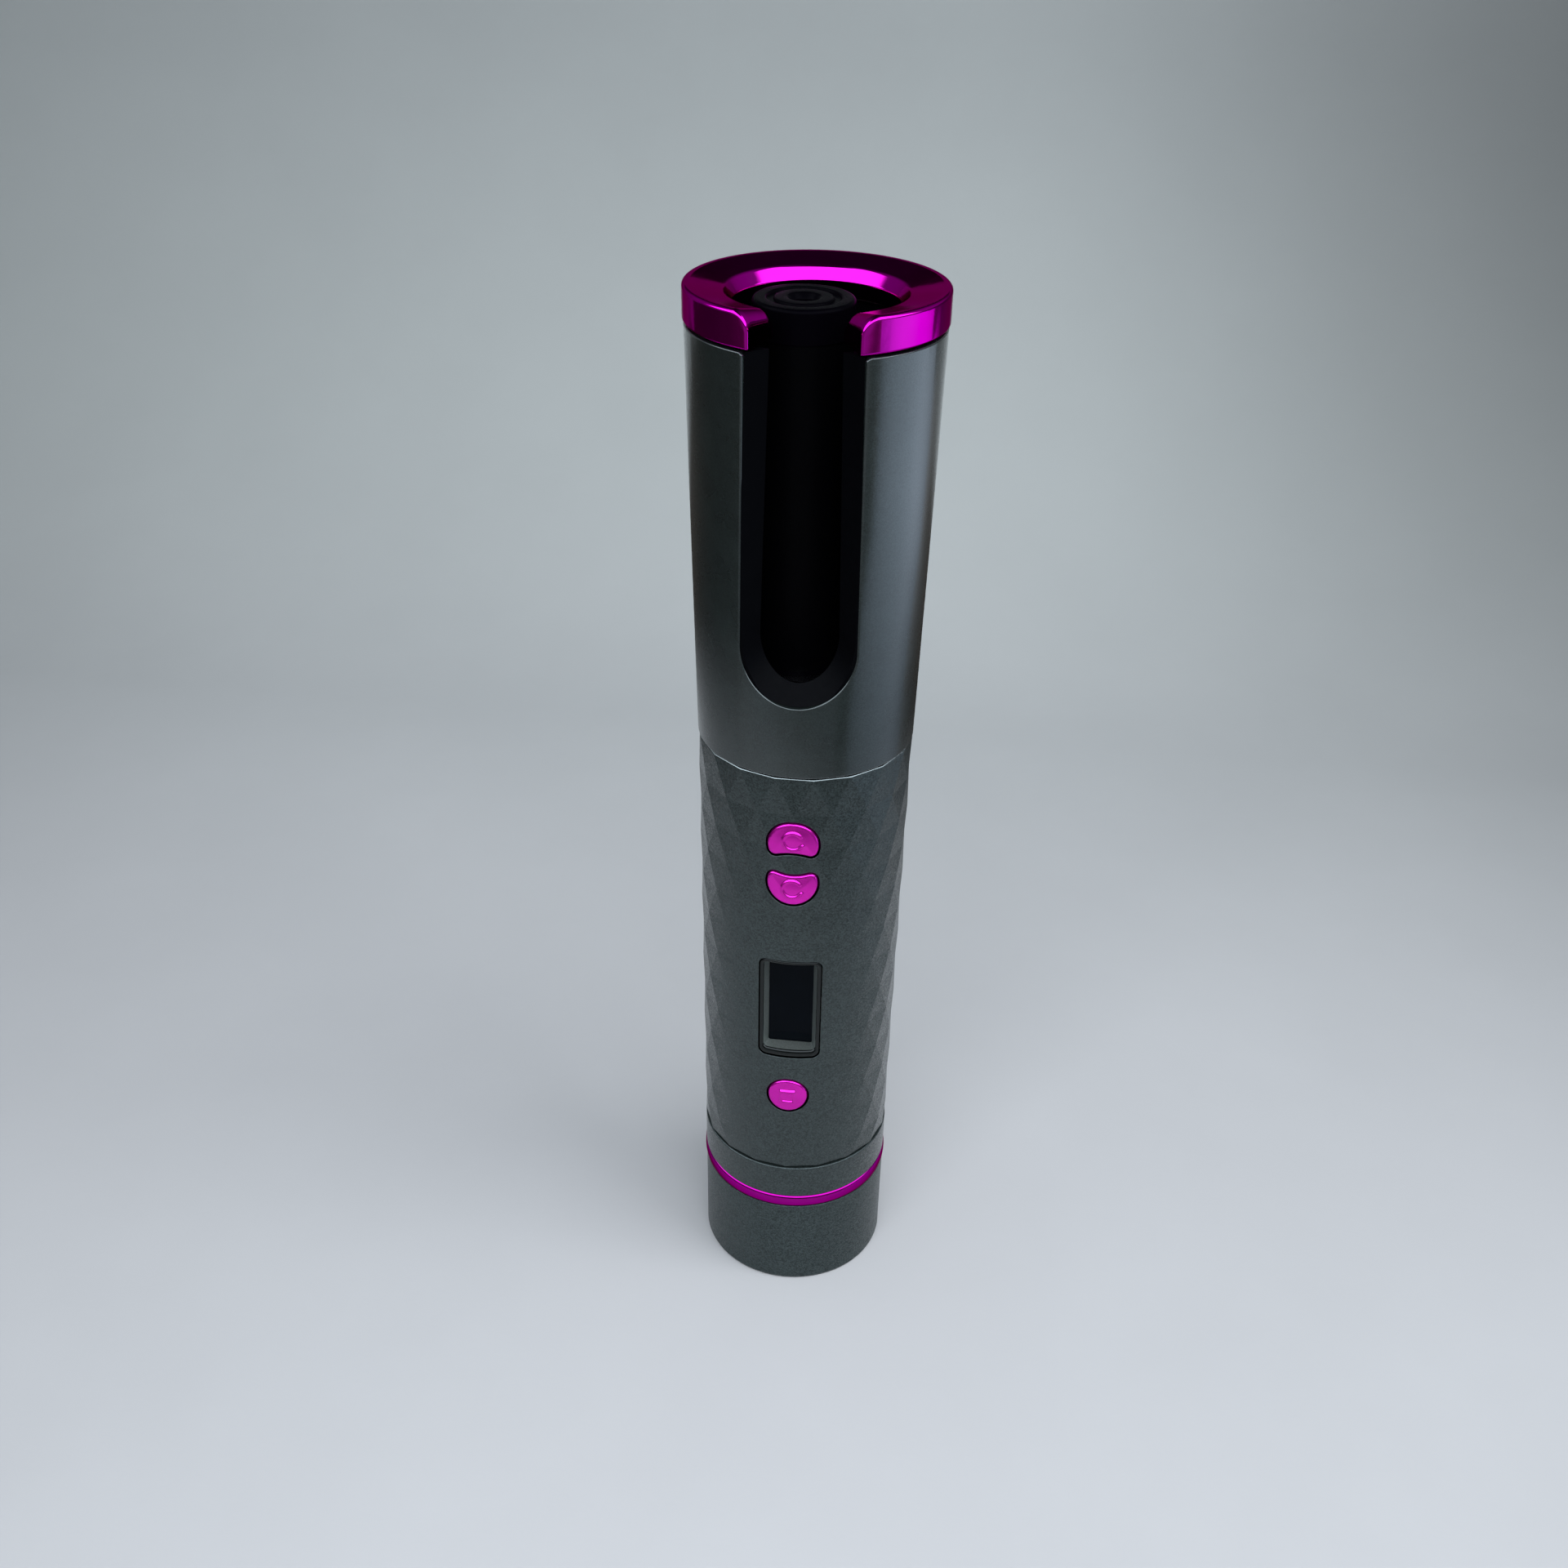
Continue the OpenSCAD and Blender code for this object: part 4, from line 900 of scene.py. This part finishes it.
    highlight_faces = (0, 0)
    for loop in loops:
        inner_row = [v + count for v in loop]
        if loop is not top_loop and loop is not low_loop:
            walls = unit(np.cross(radial[loop], outer[np.roll(loop, -1)] - outer[np.roll(loop, 1)]))
            strip(loop, inner_row, walls, walls)
            continue
        up = np.array([0, 0, 1 if loop is top_loop else -1])
        size = TOP_CHAMFER if loop is top_loop else LOW_ROUND
        row, row_n = loop, exact[loop]
        for a in np.radians((30, 60, 90)):
            previous, previous_n = row, row_n
            row = add_row(outer[loop] - radial[loop] * size * (1 - math.cos(a)) + up * size * math.sin(a))
            row_n = radial[loop] * math.cos(a) + up * math.sin(a)
            strip(previous, row, previous_n, row_n)
        # the top chamfer's faces take the lighter metal, a painted highlight along the top edge
        if loop is top_loop:
            highlight_faces = (len(all_faces) - 2 * len(loop), len(all_faces))
        level_n = [up] * len(loop)
        end_row = add_row(inner[loop] + up * size)
        strip(row, end_row, level_n, level_n)
        strip(end_row, inner_row, -radial[loop], -radial[loop])
    skin = add_piece("handle_skin", all_points, all_faces, "gunmetal_satin", replaces=["handle_shell"],
                     normals=normals)
    repaint(skin, "edge_wear", *highlight_faces)


def on_cone(flat, rise=0.0):
    """Points seen from the front, in x and z, laid on the smooth part of the handle or this far above it."""
    radius = grip_r(flat[:, 1]) - SMOOTH_INSET + rise
    return np.insert(flat, 1, -np.sqrt(radius ** 2 - flat[:, 0] ** 2), axis=1)


# ---- buttons
def arc_gap(points, radius, a0, a1):
    """Distance from an arc about the origin that runs from a0 to a1, counter-clockwise."""
    x, z = points.T
    on = np.mod(np.arctan2(z, x) - a0, 2 * math.pi) <= a1 - a0
    ends = [np.hypot(x - radius * math.cos(e), z - radius * math.sin(e)) for e in (a0, a1)]
    return np.where(on, np.abs(np.hypot(x, z) - radius), np.minimum(*ends))


def ridge(gap, half, height):
    """A rounded raised band this far to each side of its middle line."""
    return height * (1 - smoothstep(half * 0.45, half * 1.25, gap))


def turn_mark(points):
    """Raised three-quarter turn with a tapered tail: the sign for a direction of rotation."""
    radius, first, last, height = 1.85, math.radians(38), math.radians(318), 0.26
    end = np.array([math.cos(last), math.sin(last)]) * radius
    body = ridge(arc_gap(points, radius, first, last), 0.28, height)
    tail = ridge(line_gap(points, np.array([end - [0.15, 0.25], end + [0.45, 0.35]])), 0.36, height)
    return np.maximum(body, tail)


def mode_mark(points):
    """Raised thin square with a heavier bar along its top."""
    h = 1.35
    sides = line_gap(points, np.array([(-h, h), (-h, -h), (h, -h), (h, h)]))
    bar = line_gap(points, np.array([(-h, h), (h, h)]))
    return np.maximum(ridge(sides, 0.24, 0.26), ridge(bar, 0.34, 0.36))


def build_button(name, outline, mark, mark_z, body, replaces):
    """A domed button with a raised mark, its wall, and the flange that keeps it behind the handle's skin."""
    lip, dome, dome_reach = 0.45, 0.14, 3.2
    wall_y, flange_y, back_y, flange = -17.5, -16.9, -16.2, 0.55
    outline = offset_outline(outline, -EDGE_SHADOW)
    flat = Flat()
    for d in lip_rows(lip):
        flat.line(offset_outline(outline, -d), closed=True)
    flat.fill(outline.min(axis=0), outline.max(axis=0), 0.16, 0.09)
    points, faces = flat.triangles(lambda m: in_outline(m, outline))
    gap = outline_gap(points, outline)
    rise = BUTTON_PROUD - lip_drop(gap, lip) + dome * smoothstep(0, dome_reach, gap)
    outer = on_cone(points, rise + mark(points - [0, mark_z]))
    faces, _ = facing_out(outer, faces, np.array([0, -1, 0]))
    loop = border_loops(faces)[0]
    edge = points[loop]
    wide = offset_outline(edge, flange)
    all_points, all_faces = list(outer), list(faces)
    row = loop
    for y, shape in ((wall_y, edge), (flange_y, edge), (flange_y, wide), (back_y, wide)):
        previous, row = row, list(range(len(all_points), len(all_points) + len(loop)))
        all_points += list(np.insert(shape, 1, y, axis=1))
        all_faces += zip(previous[1:] + previous[:1], previous, row, row[1:] + row[:1])
    all_faces.append(row)
    add_piece(name, all_points, all_faces, "magenta_chrome", body, replaces, look="button_lacquer")


# ---- frame round the display
def build_display_frame():
    """Glossy rolled rim round the display, and the lighter bevels that slope from it down to the glass."""
    glass_half, glass_low, glass_top, glass_y = 4.35, 64.8, 86.0, -16.42
    corner_steps, side_pieces = 6, 14
    # distance in from the window's edge, and depth below the handle's surface
    rim_rows = (
        (0.22, 0.42), (0.27, 0.30), (0.38, 0.22), (0.55, 0.19), (0.72, 0.22), (0.90, 0.34), (1.02, 0.55))
    bevel_rows = (0.06, 0.35, 0.65, 0.94, 1.0)

    def loop(half, low, top, radius):
        corners = rounded(box_corners(half, low, top, radius), corner_steps)
        out = []
        for i, (here, after) in enumerate(zip(corners, np.roll(corners, -1, axis=0))):
            pieces = side_pieces if i % (corner_steps + 1) == corner_steps else 1
            out += [here + (after - here) * k / pieces for k in range(pieces)]
        return np.array(out)

    def at_window(inset):
        low = WINDOW_LOW + inset + LOW_RIM_EXTRA * smoothstep(0.38, 1.02, inset)
        return loop(WINDOW_W / 2 - inset, low, WINDOW_TOP - inset, WINDOW_CORNER - inset * 0.7)

    rows = [np.insert(at_window(rim_rows[0][0]), 1, glass_y, axis=1)]
    rows += [on_cone(at_window(inset)) + [0, depth, 0] for inset, depth in rim_rows]
    glass = np.insert(loop(glass_half, glass_low, glass_top, 0.3), 1, glass_y, axis=1)
    rows += [rows[len(rim_rows)] * (1 - t) + glass * t for t in bevel_rows]
    count = len(glass)
    # the rim and the wall down into the gap are painted near-black, partly as painted shade of the gap round
    # the window
    piece = add_piece("display_surround", np.concatenate(rows), row_faces(len(rows), count), "gunmetal_gloss",
                      replaces=["display_bezel"], look="rim_paint")
    repaint(piece, "bevel_paint", (len(rim_rows) + 1) * count, (len(rows) - 1) * count)


# ---- turned pieces
def build_turned():
    """The plain band, the trim ring and the rod's end cap, which are all turned shapes."""
    band_low, band_top, step_z, top = collar_lo[2], 32.8, 31.2, collar_hi[2]
    lathe("collar_band", rounded([
        (17.75, band_low, 0.1), (GRIP_LOW_R, band_low, 0.25), (GRIP_LOW_R + 0.02, band_top, 0.32),
        (17.45, band_top, 0), (17.45, top, 0.2), (16.6, top, 0.2), (16.6, step_z, 0.1),
        (17.75, step_z, 0.1)]), "gunmetal_satin", replaces=["base_collar"])

    bulge, half_h, mid = 0.22, (ring_hi[2] - ring_lo[2]) / 2, (ring_hi[2] + ring_lo[2]) / 2
    bow = [(GRIP_LOW_R - 0.4, mid - half_h)]
    for s in -np.cos(np.linspace(0, math.pi, 17)):
        swell = (1 - min(1.0, abs(s)) ** 2.4) ** 0.6
        bow.append((GRIP_LOW_R - 0.33 + (bulge + 0.33) * swell, mid + s * (half_h - 0.04)))
    bow += [(GRIP_LOW_R - 0.4, mid + half_h), (17.75, mid + half_h), (17.75, mid - half_h)]
    # the trim ring takes the darker copy of the chrome: painted shade
    lathe("trim_band", np.array(bow), "magenta_chrome", replaces=["trim_ring"], look="trim_chrome")

    tube_top, face = 203.5, END_FACE
    lathe("rod_tip", rounded([
        (1.3, tube_top - 4, 0.1), (7.6, tube_top - 4, 0.1), (7.6, tube_top, 0), (END_CAP_R, tube_top, 0.35),
        (END_CAP_R, face, 0.75), (6.4, face, 0.3), (6.25, face - 0.5, 0.15), (5.15, face - 0.5, 0.15),
        (5.0, face, 0.35), (2.9, face, 0.45), (2.0, face - 0.9, 0.3), (2.0, face - 4, 0.1),
        (1.3, face - 4, 0.1)]), "black_heatproof", 96, ROD_X, replaces=["rod_end_cap"])


build_cap()
build_shell()
build_handle()
build_button("button_turn_upper", bean(False), turn_mark, BEAN_MID_Z + MARK_Z, "curl_left_button",
             ["button_curl_left"])
build_button("button_turn_lower", bean(True), turn_mark, BEAN_MID_Z - MARK_Z, "curl_right_button",
             ["button_curl_right"])
build_button("button_round", disc(), mode_mark, ROUND_Z, "mode_button", ["button_mode"])
build_display_frame()
build_turned()


# ---- floor, backdrop, light
def stage_mesh(name, points, faces, material):
    mesh = bpy.data.meshes.new(name)
    mesh.from_pydata(points, [], faces)
    mesh.shade_smooth()
    mesh.materials.append(material)
    made = bpy.data.objects.new(name, mesh)
    scene.collection.objects.link(made)
    return made


def paper_material():
    """Pale paper: faint fibres and a little unevenness, with painted shade that makes it darker towards the
    far edge and the sides, and a painted tint of the light that shifts from front to back.
    """
    near, far, widest = 0.61, 0.33, 0.42
    left_near, left_far, right_near, right_far = 4.2, 1.8, 1.2, 20.0
    g = Graph("pale_paper")
    split = g.node("ShaderNodeSeparateXYZ", Vector=g.coords())
    cloud = g.noise(0.05, 4)
    fibre = g.noise(0.0012, 4)
    across = g.remap(split.outputs[0], -widest, widest, -widest, widest)
    along = g.math("ADD", split.outputs[1], split.outputs[2])
    # painted tint of the light, which shifts from front to back
    tint = g.mix(g.remap(along, 0.0, 0.5, 0, 1, True), (0.97, 0.985, 1.04), (0.95, 1.012, 1.035))
    pale = cloudy(g, cloud, (0.97, 0.97, 0.97), (1.0, 1.0, 1.0))
    pale = g.mix(1.0, pale, tint, "MULTIPLY")
    # painted shade: darker towards the far edge, and towards the sides
    left = g.remap(along, 0.0, 0.6, left_near, left_far)
    right = g.remap(along, 0.0, 0.6, right_near, right_far)
    square = g.math("MULTIPLY", across, across)
    aside = g.math("MULTIPLY", square, g.remap(across, -0.02, 0.02, left, right))
    level = g.math("DIVIDE", g.remap(along, -0.2, 0.7, near, far), g.math("ADD", aside, 1.0))
    g.set(Base_Color=g.vector("SCALE", pale, scale=level))
    g.set(Roughness=0.6, Specular_IOR_Level=0.0, Normal=g.bump(fibre, 0.00002))
    return g.mat


BEND_Y, BEND_R, SHEET_TOP = 0.23, 0.20, 0.34


def sheet_height(y):
    """Height of the curved sheet at this distance back, up to where it stands upright."""
    over = min(max(0.0, y - BEND_Y), BEND_R * 0.98)
    return BEND_R - math.sqrt(BEND_R ** 2 - over ** 2)


def build_stage():
    """A pale sheet that lies flat under the object and curves up behind it."""
    wide, near = 2.2, -2.0
    rows = [(near, 0.0), (-0.6, 0.0), (0.0, 0.0), (BEND_Y, 0.0)]
    for k in range(1, 25):
        a = math.pi / 2 * k / 24
        rows.append((BEND_Y + BEND_R * math.sin(a), BEND_R * (1 - math.cos(a))))
    rows += [(BEND_Y + BEND_R, SHEET_TOP)]
    xs = np.linspace(-wide, wide, 9)
    points = [(x, y, z) for y, z in rows for x in xs]
    count = len(xs)
    faces = [(r * count + i, r * count + i + 1, (r + 1) * count + i + 1, (r + 1) * count + i)
             for r in range(len(rows) - 1) for i in range(count - 1)]
    stage_mesh("studio_sheet", points, faces, paper_material())


# degrees round the object, 0 in front of it and 90 at its right, and how bright the mirrored ring is there
MIRRORED = (
    (-180, 0.05), (-145, 0.07), (-112, 0.035), (-62, 0.03), (-50, 0.30), (-26, 0.50), (-12, 0.26),
    (10, 0.22), (28, 0.40), (44, 0.40), (50, 0.08), (56, 0.12), (63, 1.00), (76, 1.35), (100, 1.50),
    (114, 1.35), (132, 0.14), (152, 0.09), (180, 0.05))


def build_mirrored_floor():
    """What shiny walls mirror round the object: a ring just above the sheet that only reflections see."""
    lift, steps = 0.0015, 120
    radii = [0.10, 0.20, 0.23, 0.26, 0.29, 0.32, 0.35, 0.38, 0.41, 0.44, 0.50, 0.60, 0.80, 1.1, 1.6]
    points = [(r * math.sin(a), -r * math.cos(a), lift + sheet_height(-r * math.cos(a)))
              for r in radii for a in np.arange(steps) * 2 * math.pi / steps]
    faces = [f for f in row_faces(len(radii), steps, closed=False)
             if max(points[v][1] for v in f) < BEND_Y + BEND_R * 0.95]
    g = Graph("mirrored_floor")
    g.tree.nodes.remove(g.bsdf)
    x, y, _ = g.node("ShaderNodeSeparateXYZ", Vector=g.coords()).outputs
    away = g.math("SQRT", g.math("ADD", g.math("MULTIPLY", x, x), g.math("MULTIPLY", y, y)))
    turn = g.math("DIVIDE", g.math("ARCTAN2", x, g.math("MULTIPLY", y, -1.0)), 2 * math.pi)
    shift = g.remap(away, 0.25, 0.40, 0.030, -0.012)
    ramp = g.node("ShaderNodeValToRGB", Fac=g.math("ADD", g.math("ADD", turn, 0.5), shift))
    peak = max(level for _, level in MIRRORED)
    ramp.color_ramp.interpolation = "B_SPLINE"
    stops = ramp.color_ramp.elements
    for degrees, level in MIRRORED:
        place = degrees / 360 + 0.5
        stop = stops[0] if place <= 0 else stops[-1] if place >= 1 else stops.new(place)
        stop.color = (level / peak, level / peak, level / peak, 1)
    tint = g.mix(g.remap(ramp.outputs["Color"], 0.05, 0.4, 0, 1), (1.0, 0.93, 0.86), (0.80, 0.94, 1.14))
    strength = g.math("MULTIPLY", ramp.outputs["Color"], g.remap(away, 0.24, 0.45, 0.36 * peak, peak))
    glow = g.node("ShaderNodeEmission", Color=tint, Strength=strength)
    clear = g.node("ShaderNodeBsdfTransparent")
    reach = g.math("ADD", away, g.remap(turn, -0.15, 0.10, -0.06, 0.015))
    in_front = g.remap(y, 0.32, 0.38, 1.0, 0.0, True)
    shown = g.math("MULTIPLY", g.remap(reach, 0.12, 0.27, 0.0, 1.0, True), in_front)
    g.show(shown, clear, glow)
    ring = stage_mesh("mirrored_floor", points, faces, g.mat)
    ring.visible_camera = False
    ring.visible_diffuse = False
    ring.visible_shadow = False
    ring.visible_transmission = False


def area_light(name, place, target, size_x, size_y, power, colour):
    """A soft rectangular light that neither the camera nor a reflection sees."""
    data = bpy.data.lights.new(name, "AREA")
    data.shape = "RECTANGLE"
    data.size, data.size_y, data.energy, data.color = size_x, size_y, power, colour
    lamp = bpy.data.objects.new(name, data)
    lamp.location = place
    lamp.rotation_euler = (Vector(target) - Vector(place)).to_track_quat("-Z", "Y").to_euler()
    lamp.visible_camera = False
    lamp.visible_glossy = False
    scene.collection.objects.link(lamp)


def build_world():
    """Even soft light, with what shiny surfaces mirror: bright high up in front, dim above and behind."""
    scene.world = bpy.data.worlds.new("studio")
    g = Graph("studio", scene.world)

    def fade(value, low, high):
        return g.remap(value, low, high, 0, 1, True)

    direction = g.node("ShaderNodeTexCoord").outputs["Generated"]
    x, y, z = g.node("ShaderNodeSeparateXYZ", Vector=direction).outputs
    band = g.math("MULTIPLY", fade(z, 0.22, 0.34), fade(z, 0.95, 0.86))
    bright = g.math("MULTIPLY", g.math("MULTIPLY", fade(y, 0.30, 0.05), band), 3.0)
    side = g.math("MULTIPLY", fade(g.math("ABSOLUTE", x), 0.10, 0.75), 0.22)
    side = g.math("ADD", side, g.math("MULTIPLY", fade(x, -0.05, 0.30), 0.07))
    level = g.math("ADD", g.math("MAXIMUM", bright, side), 0.02)
    soft = g.node("ShaderNodeBackground", Color=(0.42, 0.46, 0.48, 1), Strength=1.0)
    mirrored = g.node("ShaderNodeBackground", Color=(0.88, 0.96, 1.06, 1), Strength=level)
    g.show(g.node("ShaderNodeLightPath").outputs["Is Glossy Ray"], soft, mirrored)


build_stage()
build_world()
build_mirrored_floor()
area_light("front_light", (0.0, -1.05, 0.85), (0, 0, 0.18), 1.5, 0.45, 14, (0.95, 0.98, 1.0))
area_light("key_light", (0.7, -0.3, 1.2), (0, 0, 0.05), 0.7, 0.7, 9, (0.97, 0.99, 1.0))
